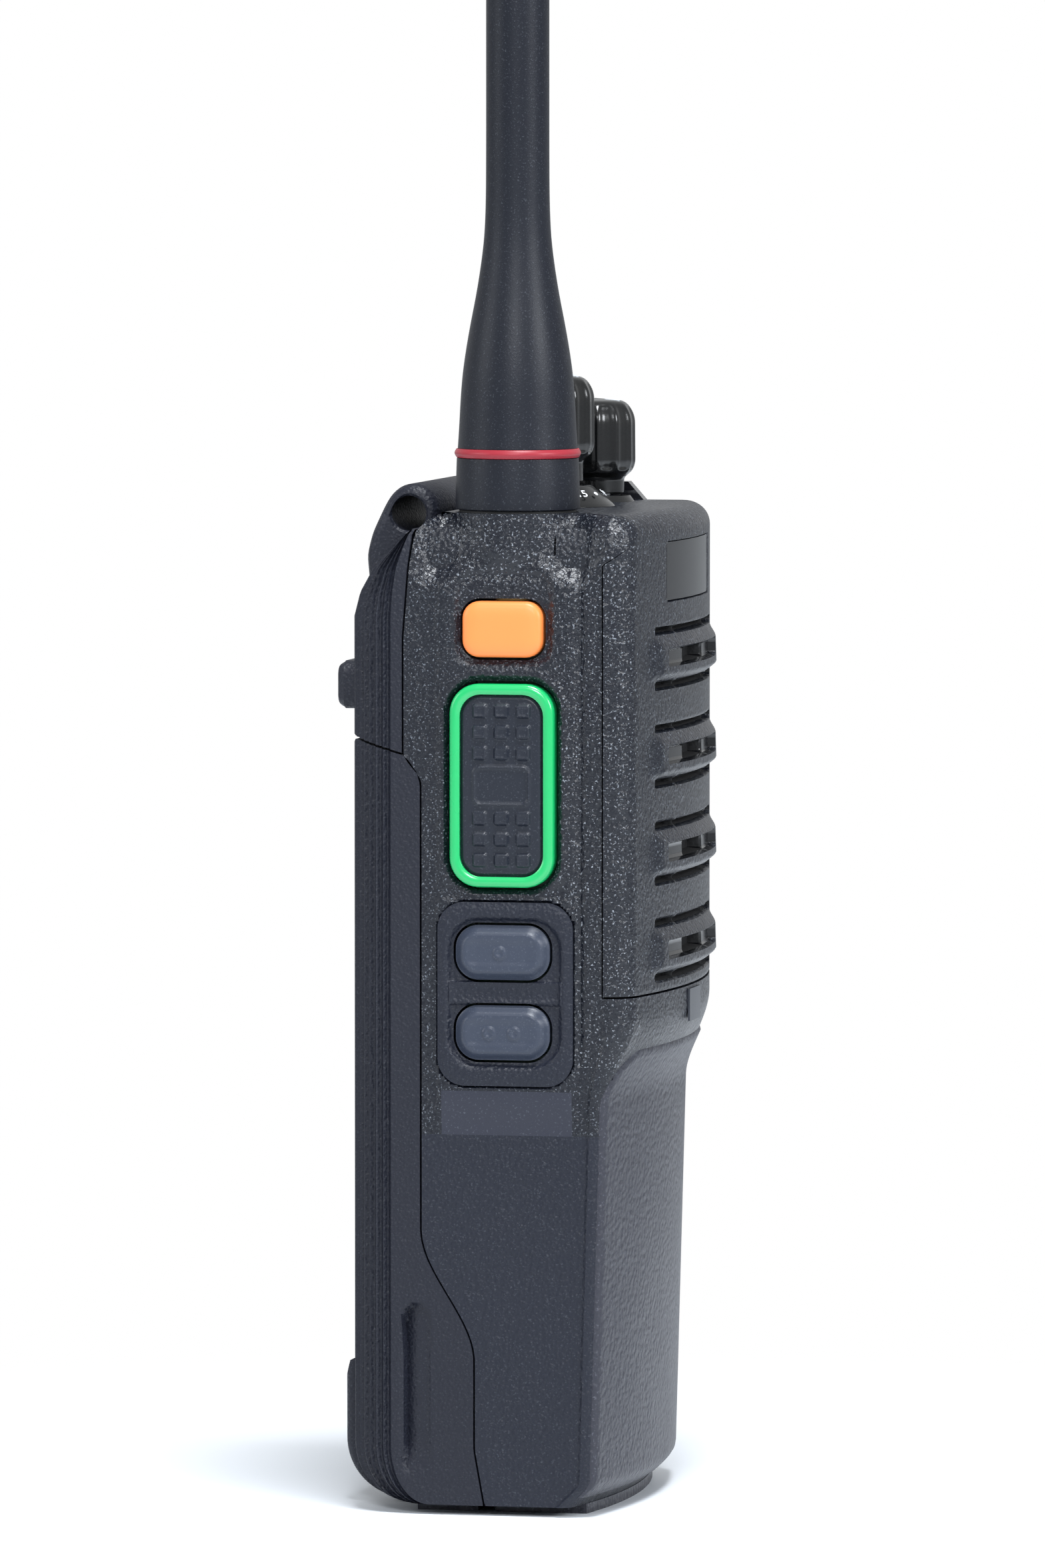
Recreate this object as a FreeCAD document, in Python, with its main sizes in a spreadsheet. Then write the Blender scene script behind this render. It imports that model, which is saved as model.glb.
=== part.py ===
import FreeCAD, Part
import math
import os
import Sketcher

# Hand-held two way radio, in millimetres.
# The origin is the centre of the base, +Z is up, the speaker faces -Y,
# the talk button is on the -X side and the battery is the +Y side.

DRIVING_SIZES = {
    # Casing
    "half_width": 27.0,
    "back_y": 21.0,
    "back_corner": 6.0,
    "base_z": 1.3,
    "top_z": 129.4,
    "wall": 1.8,
    "seam_gap": 0.25,
    "edge_round": 3.4,
    # Front face, an arc in plan whose apex moves back below the chin
    "front_radius": 112.0,
    "front_corner": 3.9,
    "grip_corner": 2.2,
    "face_y": -19.5,
    "foot_y": -14.55,
    "hip_y": -15.85,
    "hip_z": 48.0,
    "waist_y": -17.0,
    "waist_z": 55.5,
    "chin_z": 61.5,
    "panel_low_z": 67.2,
    "panel_top_z": 126.4,
    "panel_side_y": -12.75,
    # Seams of the rear cover and of the battery
    "cover_seam_y": 13.3,
    "battery_seam_y": 10.93,
    "lower_seam_y": 3.91,
    "seam_bend_top": 37.0,
    "seam_bend_low": 20.0,
    "battery_top_z": 100.6,
    "battery_front_y": 9.55,
    "battery_step_z": 20.7,
    "battery_round": 7.5,
    # Side controls
    "button_y": 0.26,
    "button_gap": 0.35,
    "talk_z": 94.5,
    "talk_width": 13.7,
    "talk_height": 26.2,
    "talk_corner": 3.8,
    "talk_rim": 1.5,
    "alert_z": 114.6,
    "alert_width": 10.5,
    "alert_height": 7.2,
    "alert_corner": 2.2,
    "key_width": 12.4,
    "key_height": 7.1,
    "key_corner": 3.0,
    "upper_key_z": 72.95,
    "lower_key_z": 62.6,
    "key_pad_z": 67.6,
    "key_pad_width": 17.9,
    "key_pad_height": 23.8,
    # Speaker grille
    "rib_count": 4.0,
    "rib_low_z": 72.8,
    "rib_pitch": 12.6,
    "rib_height": 5.5,
    "rib_half": 20.5,
    "rib_proud": 1.0,
    "slot_half": 18.0,
    "slot_rise": 3.5,
    "slot_height": 0.75,
    "window_half": 15.3,
    "speaker_z": 91.7,
    "plate_half": 13.3,
    "plate_low_z": 117.9,
    "plate_top_z": 125.4,
    # Antenna
    "antenna_x": -18.0,
    "antenna_y": 0.1,
    "boss_radius": 8.8,
    "collar_radius": 8.05,
    "collar_z": 129.7,
    "ring_z": 136.4,
    "whip_z": 137.6,
    "whip_radius": 4.08,
    "antenna_tip_z": 279.7,
    "thread_radius": 3.175,
    "fit_clearance": 0.05,
    # Rotary controls
    "channel_x": 1.0,
    "channel_y": -0.7,
    "volume_x": 17.0,
    "volume_y": -2.9,
    "knob_radius": 5.3,
    "neck_radius": 3.9,
    "shaft_radius": 2.0,
    "bushing_radius": 3.4,
    "flute_count": 9.0,
    # Lanyard lug and belt clip rail
    "lug_top_z": 132.9,
    "lug_bore": 2.3,
    "lug_bore_y": 15.2,
    "lug_bore_z": 128.9,
    "lug_half": 15.0,
    "clip_z": 106.55,
    "clip_half": 15.0,
    "clip_height": 6.3,
    "clip_proud": 3.8,
    "clip_screw_x": 9.0,
    "insert_bore": 1.25,
    "insert_radius": 2.2,
    "insert_length": 6.0,
    # Battery latch
    "latch_half": 15.0,
    "latch_y": 23.67,
    "latch_top_z": 19.4,
    # Accessory port on the +X side
    "port_z": 96.0,
    "port_height": 19.4,
    "pin_x": 25.9,
    "pin_y": 6.6,
    "pin_radius": 0.5,
}

doc = FreeCAD.newDocument("two_way_radio")
sheet = doc.addObject("Spreadsheet::Sheet", "dims")
for row, (alias, value) in enumerate(DRIVING_SIZES.items(), start=1):
    sheet.set(f"A{row}", alias)
    sheet.set(f"B{row}", str(value))
    sheet.setAlias(f"B{row}", alias)
doc.recompute()


class Size:
    """A length that carries its value and the sheet expression it comes from."""

    def __init__(self, value, text):
        self.value = float(value)
        self.text = text

    def __add__(self, other):
        other = as_size(other)
        return Size(self.value + other.value, f"({self.text} + {other.text})")

    def __sub__(self, other):
        other = as_size(other)
        return Size(self.value - other.value, f"({self.text} - {other.text})")

    def __mul__(self, other):
        other = as_size(other)
        return Size(self.value * other.value, f"({self.text} * {other.text})")

    def __truediv__(self, other):
        other = as_size(other)
        return Size(self.value / other.value, f"({self.text} / {other.text})")

    def __radd__(self, other):
        return as_size(other) + self

    def __rsub__(self, other):
        return as_size(other) - self

    def __rmul__(self, other):
        return as_size(other) * self

    def __neg__(self):
        return Size(-self.value, f"(0 - {self.text})")


def as_size(number):
    """Wrap a plain number as a Size."""
    if isinstance(number, Size):
        return number
    return Size(number, f"({number})")


def dim(alias):
    """The driving size with this name."""
    return Size(sheet.get(alias), f"dims.{alias}")


def root(size):
    """The square root of a Size."""
    return Size(math.sqrt(size.value), f"sqrt({size.text})")


def bowed(apex, radius, x):
    """The Y of a front arc with this apex and radius, at x from the middle."""
    return apex + radius - root(radius * radius - x * x)


def bind(item, path, size):
    """Tie one property of a document object to the sheet."""
    item.setExpression(path, as_size(size).text)


# Sketch drawing

def arc_geometry(start, end, radius, turn):
    """A circle's arc from start to end, with its centre on the left or right of the way there."""
    chord = math.hypot(end[0] - start[0], end[1] - start[1])
    rise = math.sqrt(max(radius * radius - chord * chord / 4.0, 0.0))
    side = 1.0 if turn == "left" else -1.0
    along = ((end[0] - start[0]) / chord, (end[1] - start[1]) / chord)
    centre = FreeCAD.Vector((start[0] + end[0]) / 2.0 - side * rise * along[1],
                            (start[1] + end[1]) / 2.0 + side * rise * along[0], 0)
    first, last = (start, end) if turn == "left" else (end, start)
    first_angle = math.atan2(first[1] - centre.y, first[0] - centre.x)
    last_angle = math.atan2(last[1] - centre.y, last[0] - centre.x)
    circle = Part.Circle(centre, FreeCAD.Vector(0, 0, 1), radius)
    return Part.ArcOfCircle(circle, first_angle, last_angle)


def draw(sketch, path):
    """Draw one closed outline, each point (x, y) or, at the end of an arc, (x, y, radius, turn)."""
    points = [tuple(as_size(value) for value in point[:2]) for point in path]
    first_geometry = sketch.GeometryCount
    ends = []
    for index, point in enumerate(path):
        start = tuple(value.value for value in points[index - 1])
        end = tuple(value.value for value in points[index])
        if len(point) == 4:
            radius = as_size(point[2])
            geometry = sketch.addGeometry(arc_geometry(start, end, radius.value, point[3]), False)
            ends.append((1, 2) if point[3] == "left" else (2, 1))
            rule = sketch.addConstraint(Sketcher.Constraint("Radius", geometry, radius.value))
            bind(sketch, f"Constraints[{rule}]", radius)
        else:
            line = Part.LineSegment(FreeCAD.Vector(*start, 0), FreeCAD.Vector(*end, 0))
            sketch.addGeometry(line, False)
            ends.append((1, 2))
    for index, point in enumerate(points):
        here = first_geometry + index
        after = first_geometry + (index + 1) % len(points)
        end_vertex = ends[index][1]
        next_vertex = ends[(index + 1) % len(points)][0]
        sketch.addConstraint(Sketcher.Constraint("Coincident", here, end_vertex, after, next_vertex))
        for kind, size in (("DistanceX", point[0]), ("DistanceY", point[1])):
            rule = sketch.addConstraint(
                Sketcher.Constraint(kind, -1, 1, here, end_vertex, size.value))
            bind(sketch, f"Constraints[{rule}]", size)


def draw_circle(sketch, x, y, radius):
    """Draw one circle at a bound centre."""
    centre = FreeCAD.Vector(as_size(x).value, as_size(y).value, 0)
    circle = Part.Circle(centre, FreeCAD.Vector(0, 0, 1), as_size(radius).value)
    geometry = sketch.addGeometry(circle, False)
    rules = (("DistanceX", x), ("DistanceY", y))
    for kind, size in rules:
        rule = sketch.addConstraint(
            Sketcher.Constraint(kind, -1, 1, geometry, 3, as_size(size).value))
        bind(sketch, f"Constraints[{rule}]", size)
    rule = sketch.addConstraint(Sketcher.Constraint("Radius", geometry, as_size(radius).value))
    bind(sketch, f"Constraints[{rule}]", radius)


def rectangle(low_x, high_x, low_y, high_y):
    """The outline of a plain rectangle."""
    return [(low_x, low_y), (high_x, low_y), (high_x, high_y), (low_x, high_y)]


def rounded(centre_x, centre_y, width, height, corner):
    """The outline of a rectangle with rounded corners."""
    low_x, high_x = centre_x - width / 2, centre_x + width / 2
    low_y, high_y = centre_y - height / 2, centre_y + height / 2
    return [(high_x - corner, low_y), (high_x, low_y + corner, corner, "left"),
            (high_x, high_y - corner), (high_x - corner, high_y, corner, "left"),
            (low_x + corner, high_y), (low_x, high_y - corner, corner, "left"),
            (low_x, low_y + corner), (low_x + corner, low_y, corner, "left")]


# Bodies and their features

def new_body(label):
    """A new body for one sub-part."""
    return doc.addObject("PartDesign::Body", label)


def new_sketch(body, role, level):
    """A sketch on one of the body's origin planes, moved to a level along that plane's axis."""
    sketch = body.newObject("Sketcher::SketchObject", f"{body.Name}_outline")
    plane = [item for item in body.Origin.OriginFeatures if item.Role == role][0]
    sketch.AttachmentSupport = (plane, "")
    sketch.MapMode = "FlatFace"
    offset = -as_size(level) if role == "XZ_Plane" else as_size(level)
    bind(sketch, "AttachmentOffset.Base.z", offset)
    return sketch


def extrude(body, kind, role, low, high, paths, circles=()):
    """Pad or pocket outlines from low to high along the axis of the plane that role names."""
    sketch = new_sketch(body, role, low)
    for path in paths:
        draw(sketch, path)
    for circle in circles:
        draw_circle(sketch, *circle)
    before = body.Shape.Volume if body.Tip else 0.0
    feature = body.newObject(f"PartDesign::{kind}", f"{body.Name}_{kind.lower()}")
    feature.Profile = sketch
    bind(feature, "Length", as_size(high) - as_size(low))
    feature.Reversed = (kind == "Pocket") != (role == "XZ_Plane")
    doc.recompute()
    change = body.Shape.Volume - before
    if (kind == "Pad") != (change > 0) or abs(change) < 1e-6:
        raise RuntimeError(f"{feature.Name} changed the volume by {change:.4f}")
    return feature


def pad(body, role, low, high, *paths, circles=()):
    """Add a prism to a body."""
    return extrude(body, "Pad", role, low, high, paths, circles)


def pocket(body, role, low, high, *paths, circles=()):
    """Cut a prism from a body."""
    return extrude(body, "Pocket", role, low, high, paths, circles)


def round_edges(body, radius, wanted):
    """Round the edges of a body that the test picks."""
    base = body.Tip
    names = [f"Edge{index}" for index, edge in enumerate(base.Shape.Edges, 1) if wanted(edge)]
    fillet = body.newObject("PartDesign::Fillet", f"{body.Name}_round")
    fillet.Base = (base, names)
    bind(fillet, "Radius", radius)
    doc.recompute()
    return fillet


def repeat(body, features, axis_role, count, span, kind="LinearPattern"):
    """Repeat features along or about an axis of the body, over the whole span."""
    axis = [item for item in body.Origin.OriginFeatures if item.Role == axis_role][0]
    pattern = body.newObject(f"PartDesign::{kind}", f"{body.Name}_repeat")
    pattern.Originals = features
    if kind == "LinearPattern":
        pattern.Direction = (axis, [""])
        bind(pattern, "Length", span)
    else:
        pattern.Axis = (axis, [""])
        pattern.Angle = span
    bind(pattern, "Occurrences", count)
    body.Tip = pattern
    doc.recompute()
    return pattern


def turn(body, role, path):
    """Turn an outline of (radius, height) points about the sketch's upright axis."""
    sketch = new_sketch(body, role, 0)
    draw(sketch, path)
    feature = body.newObject("PartDesign::Revolution", f"{body.Name}_turned")
    feature.Profile = sketch
    feature.ReferenceAxis = (sketch, ["V_Axis"])
    feature.Angle = 360.0
    doc.recompute()
    return feature


def move_to(item, x=0, y=0, z=0):
    """Place an object at bound coordinates."""
    for letter, size in (("x", x), ("y", y), ("z", z)):
        bind(item, f"Placement.Base.{letter}", size)
    doc.recompute()


# Primitives and booleans

def box(label, x, y, z):
    """A block between the low and high value on each axis."""
    solid = doc.addObject("Part::Box", label)
    for side, letter, (low, high) in (("Length", "x", x), ("Width", "y", y), ("Height", "z", z)):
        bind(solid, side, as_size(high) - as_size(low))
        bind(solid, f"Placement.Base.{letter}", low)
    return solid


ROTATIONS = {
    "x": FreeCAD.Rotation(FreeCAD.Vector(0, 1, 0), 90),
    "y": FreeCAD.Rotation(FreeCAD.Vector(1, 0, 0), -90),
    "z": FreeCAD.Rotation(),
}


def rod(label, axis, centre, low, high, radius):
    """A cylinder along one axis, from low to high, at the two other coordinates."""
    solid = doc.addObject("Part::Cylinder", label)
    solid.Placement = FreeCAD.Placement(FreeCAD.Vector(), ROTATIONS[axis])
    bind(solid, "Radius", radius)
    bind(solid, "Height", as_size(high) - as_size(low))
    across = [letter for letter in "xyz" if letter != axis]
    bind(solid, f"Placement.Base.{axis}", low)
    for letter, size in zip(across, centre):
        bind(solid, f"Placement.Base.{letter}", size)
    return solid


def cut(label, base, tools):
    """The base with every tool removed from it."""
    result = base
    for index, tool in enumerate(tools):
        last = index == len(tools) - 1
        step = doc.addObject("Part::Cut", label if last else f"{label}_step")
        step.Base = result
        step.Tool = tool
        result = step
    return result


def fuse(label, shapes):
    """Several shapes as one solid."""
    result = doc.addObject("Part::MultiFuse", label)
    result.Shapes = shapes
    return result


def group(label, shapes):
    """Separate solids of one kind, kept in one node."""
    result = doc.addObject("Part::Compound", label)
    result.Links = shapes
    return result


# Shared sizes

half_width = dim("half_width")
wall = dim("wall")
gap = dim("seam_gap")
inner_half = half_width - wall
back_y = dim("back_y")
base_z = dim("base_z")
top_z = dim("top_z")
face_y = dim("face_y")
front_radius = dim("front_radius")
cover_seam = dim("cover_seam_y")
battery_seam = dim("battery_seam_y")
lower_seam = dim("lower_seam_y")
bend_top = dim("seam_bend_top")
bend_low = dim("seam_bend_low")
battery_top = dim("battery_top_z")
battery_front = dim("battery_front_y")
button_y = dim("button_y")
FAR = 60


def corner_sizes(apex_y, radius, half, corner):
    """Where the arc of a front corner leaves the side and where it meets the front arc."""
    centre_x = half - corner
    drop = root((radius - corner) * (radius - corner) - centre_x * centre_x)
    stretch = radius / (radius - corner)
    side_y = apex_y + radius - drop
    return side_y, centre_x * stretch, apex_y + radius - drop * stretch


def shell_outline(apex_y, back, corner):
    """The casing's outline in plan, with the front an arc through apex_y."""
    side_y, meet_x, meet_y = corner_sizes(apex_y, front_radius, half_width, corner)
    return [(-half_width, back), (-half_width, side_y), (-meet_x, meet_y, corner, "left"),
            (meet_x, meet_y, front_radius, "left"), (half_width, side_y, corner, "left"),
            (half_width, back)]


def crescent(apex_y, radius, half, thickness):
    """A strip of even thickness that follows the front arc."""
    inner = radius - thickness
    outer_end = bowed(apex_y, radius, half)
    inner_end = bowed(apex_y + thickness, inner, half)
    return [(-half, inner_end, inner, "right"), (-half, outer_end),
            (half, outer_end, radius, "left"), (half, inner_end)]


def seam_path(clear):
    """The rear seam from above the battery to the base, moved back by clear."""
    high_y = battery_seam + clear
    low_y = lower_seam + clear
    drop = (bend_top - bend_low) / 2
    shift = (battery_seam - lower_seam) / 2
    bend_radius = (drop * drop + shift * shift) / (2 * shift)
    return [(high_y, battery_top - 5.9 - clear), (high_y, bend_top),
            (high_y - shift, bend_top - drop, bend_radius, "right"),
            (low_y, bend_low, bend_radius, "left"),
            (low_y, base_z + 7.2), (low_y - 1.3, base_z)]


def cover_seam_path(clear):
    """The seam between the housing and the rear cover, from the battery to the top."""
    seam_y = cover_seam + clear
    return [(seam_y, top_z - 16), (seam_y - 0.7, top_z - 7), (seam_y - 1.3, top_z - 2.5),
            (seam_y - 2.6, top_z - 0.9), (seam_y - 4.4, top_z + 0.1)]


def shoulder_path():
    """What the sloped rear shoulder removes, in side view."""
    return [(7.0, top_z + 0.1), (9.3, top_z - 0.7), (14.0, top_z - 2.9), (18.4, top_z - 7.2),
            (20.2, top_z - 10.4), (back_y, top_z - 13.5), (FAR, top_z - 13.5), (FAR, top_z + 9),
            (7.0, top_z + 9)]


# Side controls: outlines of their windows, shared by the casing, the seal and the keys

upper_key_z = dim("upper_key_z")
lower_key_z = dim("lower_key_z")
CONTROLS = {
    "talk": (dim("talk_z"), dim("talk_width"), dim("talk_height"), dim("talk_corner")),
    "alert": (dim("alert_z"), dim("alert_width"), dim("alert_height"), dim("alert_corner")),
    "upper_key": (upper_key_z, dim("key_width"), dim("key_height"), dim("key_corner")),
    "lower_key": (lower_key_z, dim("key_width"), dim("key_height"), dim("key_corner")),
}


def control_outline(name, grow):
    """The outline of one side control in side view, grown on every side."""
    centre_z, width, height, corner = CONTROLS[name]
    return rounded(button_y, centre_z, width + 2 * grow, height + 2 * grow, corner + grow)


# Front housing: a tub open at the back, with the top, both sides and the lower front

antenna_x = dim("antenna_x")
antenna_y = dim("antenna_y")
panel_low = dim("panel_low_z")
panel_top = dim("panel_top_z")
panel_side = dim("panel_side_y")
port_z = dim("port_z")
port_height = dim("port_height")
pin_x = dim("pin_x")
pin_y = dim("pin_y")

housing = new_body("front_housing")
grip_corner = dim("grip_corner")
front_corner = dim("front_corner")
levels = [(base_z, dim("foot_y"), grip_corner), (dim("hip_z"), dim("hip_y"), grip_corner),
          (dim("waist_z"), dim("waist_y"), grip_corner), (dim("chin_z"), face_y, front_corner)]
sections = []
for level, apex, corner in levels:
    section = new_sketch(housing, "XY_Plane", level)
    draw(section, shell_outline(apex, cover_seam, corner))
    sections.append(section)
loft = housing.newObject("PartDesign::AdditiveLoft", "lower_casing")
loft.Profile = sections[0]
loft.Sections = sections[1:]
loft.Ruled = True
doc.recompute()
pad(housing, "XY_Plane", dim("chin_z"), top_z, shell_outline(face_y, cover_seam, front_corner))
round_edges(housing, dim("edge_round"), lambda edge: (
    edge.BoundBox.ZMin > top_z.value - 0.01 and edge.BoundBox.YMin < cover_seam.value - 1))
pocket(housing, "XY_Plane", base_z + wall, panel_low - 0.4,
       [(-inner_half, cover_seam + 1), (-inner_half, dim("foot_y") + 4.8),
        (inner_half, dim("foot_y") + 4.8, front_radius, "left"), (inner_half, cover_seam + 1)])
pocket(housing, "XY_Plane", panel_low - 0.5, top_z - wall,
       rectangle(-inner_half, inner_half, panel_side - 1, cover_seam + 1))
pocket(housing, "XY_Plane", panel_low, panel_top,
       rectangle(-FAR, FAR, -FAR, panel_side))
pocket(housing, "YZ_Plane", -FAR, FAR,
       [(FAR, base_z - 5), (FAR, battery_top), (cover_seam, battery_top - 2.1),
        (12.4, battery_top - 2.8), (11.3, battery_top - 4.2)]
       + seam_path(0) + [(lower_seam - 1.9, base_z - 5)])
pocket(housing, "YZ_Plane", -FAR, FAR,
       cover_seam_path(0) + [(FAR, top_z + 0.1), (FAR, top_z - 16)])
pocket(housing, "YZ_Plane", -FAR, FAR,
       [(-FAR, -5), (dim("foot_y") + 4.2, -5), (dim("foot_y") + 3.0, base_z),
        (dim("foot_y") - 0.3, base_z + 3.7), (-FAR, base_z + 3.7)])
pad(housing, "XY_Plane", top_z - 9.8, top_z, circles=[(antenna_x, antenna_y, dim("boss_radius"))])
pocket(housing, "XY_Plane", top_z - 11, top_z + 1,
       circles=[(antenna_x, antenna_y, dim("thread_radius") + 0.1)])
pocket(housing, "XY_Plane", top_z - 2.0, top_z + 1, circles=[(antenna_x, antenna_y, 4.9)])
for knob in ("channel", "volume"):
    pocket(housing, "XY_Plane", top_z - 3, top_z + 1,
           circles=[(dim(f"{knob}_x"), dim(f"{knob}_y"), dim("bushing_radius") + 0.1)])
pocket(housing, "XY_Plane", top_z - 3, top_z + 1, rectangle(22.3, 24.7, -8.6, -1.4))
for control in CONTROLS:
    pocket(housing, "YZ_Plane", -half_width - 1, -inner_half + 0.1,
           control_outline(control, dim("button_gap")))
pocket(housing, "YZ_Plane", -half_width - 1, -half_width + 0.8,
       rounded(button_y - 0.1, dim("alert_z") + 1.2, as_size(13.6), as_size(12.2), as_size(2.6)))
pocket(housing, "YZ_Plane", -half_width - 1, -half_width + 0.6,
       rounded(button_y - 0.4, dim("key_pad_z"), dim("key_pad_width"), dim("key_pad_height"),
               as_size(3.6)))
pad(housing, "YZ_Plane", inner_half - 1.6, half_width - 0.2,
    rectangle(-7.2, 8.2, port_z - 11.7, port_z + 11.7))
pocket(housing, "YZ_Plane", inner_half - 0.6, half_width + 1,
       rectangle(-6.1, 7.9, port_z - port_height / 2 - 0.3, port_z + port_height / 2 + 0.3))
pocket(housing, "YZ_Plane", inner_half - 2, half_width,
       rectangle(-5.1, 3.9, port_z - 8.1, port_z + 8.1))
pocket(housing, "XY_Plane", port_z - 11.2, port_z + 11.2, circles=[(pin_x, pin_y, dim("pin_radius"))])

# Grille panel: the upper front, wrapped round both corners

grille = new_body("grille_panel")
inner_radius = front_radius - wall
inner_front_corner = front_corner - wall
inner_side, inner_x, inner_y = corner_sizes(face_y + wall, inner_radius, inner_half,
                                            inner_front_corner)
panel_outline = shell_outline(face_y, panel_side - gap, front_corner)
pad(grille, "XY_Plane", panel_low + gap, panel_top - gap, panel_outline + [
    (inner_half, panel_side - gap), (inner_half, inner_side),
    (inner_x, inner_y, inner_front_corner, "right"), (-inner_x, inner_y, inner_radius, "right"),
    (-inner_half, inner_side, inner_front_corner, "right"), (-inner_half, panel_side - gap)])
rib_z = dim("rib_low_z")
rib_span = (dim("rib_count") - 1) * dim("rib_pitch")
rib_half = dim("rib_half")
rib_top = face_y - dim("rib_proud")
rib_foot = bowed(face_y + 0.3, front_radius, rib_half)
rib_edge = bowed(rib_top, front_radius + 1, rib_half - 1.6)
rib = pad(grille, "XY_Plane", rib_z - dim("rib_height") / 2, rib_z + dim("rib_height") / 2,
          [(-rib_half, rib_foot, front_radius, "right"), (-rib_half + 1.6, rib_edge),
           (rib_half - 1.6, rib_edge, front_radius + 1, "left"), (rib_half, rib_foot)])
repeat(grille, [rib], "Z_Axis", dim("rib_count"), rib_span)
window = pocket(grille, "XZ_Plane", face_y - 2, face_y + 1.9,
                rectangle(-dim("window_half"), dim("window_half"), rib_z - 1.05, rib_z + 1.05))
slots = []
for side in (-1, 1):
    slot_z = rib_z + side * dim("slot_rise")
    slots.append(rectangle(-dim("slot_half"), dim("slot_half"),
                           slot_z - dim("slot_height") / 2, slot_z + dim("slot_height") / 2))
slot = pocket(grille, "XZ_Plane", face_y - 2, face_y + 3.6, *slots)
holes = pocket(grille, "XZ_Plane", face_y - 2, face_y + 6,
               rectangle(-6, 6, rib_z - 1.05, rib_z + 1.05))
repeat(grille, [window, slot, holes], "Z_Axis", dim("rib_count"), rib_span)
plate_half = dim("plate_half")
plate_floor = face_y + 0.6
plate_edge = bowed(plate_floor, front_radius - 0.6, plate_half + 0.1)
pocket(grille, "XY_Plane", dim("plate_low_z") - 0.1, dim("plate_top_z") + 0.1,
       [(-plate_half - 0.1, -FAR), (plate_half + 0.1, -FAR), (plate_half + 0.1, plate_edge),
        (-plate_half - 0.1, plate_edge, front_radius - 0.6, "right")])

nameplate = new_body("blank_nameplate")
pad(nameplate, "XY_Plane", dim("plate_low_z"), dim("plate_top_z"),
    crescent(face_y + 0.1, front_radius - 0.1, plate_half, as_size(0.48)))

# Grip panel: a thin skin that follows the lower front

grip = new_body("grip_panel")
grip_half = half_width - 1.2
grip_sections = []
for level, apex, _ in [(base_z + 4.2, dim("foot_y") - 0.14, 0)] + levels[1:3]:
    section = new_sketch(grip, "XY_Plane", level)
    draw(section, crescent(apex - 0.42, front_radius + 0.42, grip_half, as_size(0.4)))
    grip_sections.append(section)
grip_loft = grip.newObject("PartDesign::AdditiveLoft", "grip_skin")
grip_loft.Profile = grip_sections[0]
grip_loft.Sections = grip_sections[1:]
grip_loft.Ruled = True
doc.recompute()

# Small window in the chin, below the grille

chin_window = new_body("indicator_window")
pad(chin_window, "XY_Plane", panel_low - 4.6, panel_low - 0.4,
    crescent(face_y - 0.3, front_radius + 0.3, as_size(3.5), as_size(0.28)))

# Rear cover: the upper back, with the lanyard lug and the belt clip rail

cover = new_body("rear_cover")
cover_front = cover_seam + gap
cover_low = [(back_y, battery_top), (cover_front, battery_top - 2.1)]
pad(cover, "YZ_Plane", -half_width, half_width,
    cover_low + cover_seam_path(gap)[:4] + [
        (cover_seam - 0.3, top_z - 2.1), (14.0, top_z - 2.9), (18.4, top_z - 7.2),
        (20.2, top_z - 10.4), (back_y, top_z - 13.5)])
back_corner = dim("back_corner")
round_edges(cover, back_corner, lambda edge: (
    edge.BoundBox.ZLength > 10 and edge.BoundBox.YMin > back_y.value - 0.1))
inner_corner = back_corner - wall
cover_hollow_back = back_y - wall
pocket(cover, "XY_Plane", battery_top + 2.2, top_z - 13.0,
       [(-inner_half, cover_front - 1), (inner_half, cover_front - 1),
        (inner_half, cover_hollow_back - inner_corner),
        (inner_half - inner_corner, cover_hollow_back, inner_corner, "left"),
        (-inner_half + inner_corner, cover_hollow_back),
        (-inner_half, cover_hollow_back - inner_corner, inner_corner, "left")])
pad(cover, "YZ_Plane", -inner_half + 0.3, inner_half - 0.3,
    rectangle(battery_front + 0.1, cover_front + 0.5, battery_top - 1.9, battery_top - 0.3))
lug_half = dim("lug_half")
lug_top = dim("lug_top_z")
pad(cover, "YZ_Plane", -lug_half, lug_half,
    [(cover_front, top_z - 14), (cover_front - 0.7, top_z - 7), (cover_front - 1.3, top_z - 2.5),
     (11.2, top_z - 0.9), (11.1, top_z + 0.2), (11.7, lug_top - 1.9), (12.9, lug_top - 0.6),
     (14.7, lug_top), (17.2, lug_top - 0.6), (19.0, lug_top - 1.9), (19.85, lug_top - 3.2),
     (20.5, lug_top - 6.6), (back_y, lug_top - 9.4), (back_y, top_z - 14)])
pocket(cover, "YZ_Plane", -FAR, FAR, circles=[(dim("lug_bore_y"), dim("lug_bore_z"), dim("lug_bore"))])
clip_z = dim("clip_z")
clip_back = back_y + dim("clip_proud")
clip_half = dim("clip_half")
pad(cover, "XZ_Plane", back_y - wall, clip_back,
    rounded(as_size(0), clip_z, 2 * clip_half, dim("clip_height"), as_size(1.85)))
round_edges(cover, as_size(0.9), lambda edge: edge.BoundBox.YMin > clip_back.value - 0.01)
clip_x = dim("clip_screw_x")
insert_start = clip_back - dim("insert_length")
pocket(cover, "XZ_Plane", insert_start, clip_back + 1,
       circles=[(side * clip_x, clip_z, dim("insert_radius")) for side in (-1, 1)])

inserts = []
for name, side in (("left_insert", -1), ("right_insert", 1)):
    outer = rod(f"{name}_outer", "y", (side * clip_x, clip_z), insert_start, clip_back,
                dim("insert_radius"))
    bore = rod(f"{name}_bore", "y", (side * clip_x, clip_z), insert_start - 1, clip_back + 1,
               dim("insert_bore"))
    inserts.append(cut(name, outer, [bore]))
group("clip_inserts", inserts)

# Base pad of the radio and the foot under the battery

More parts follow.
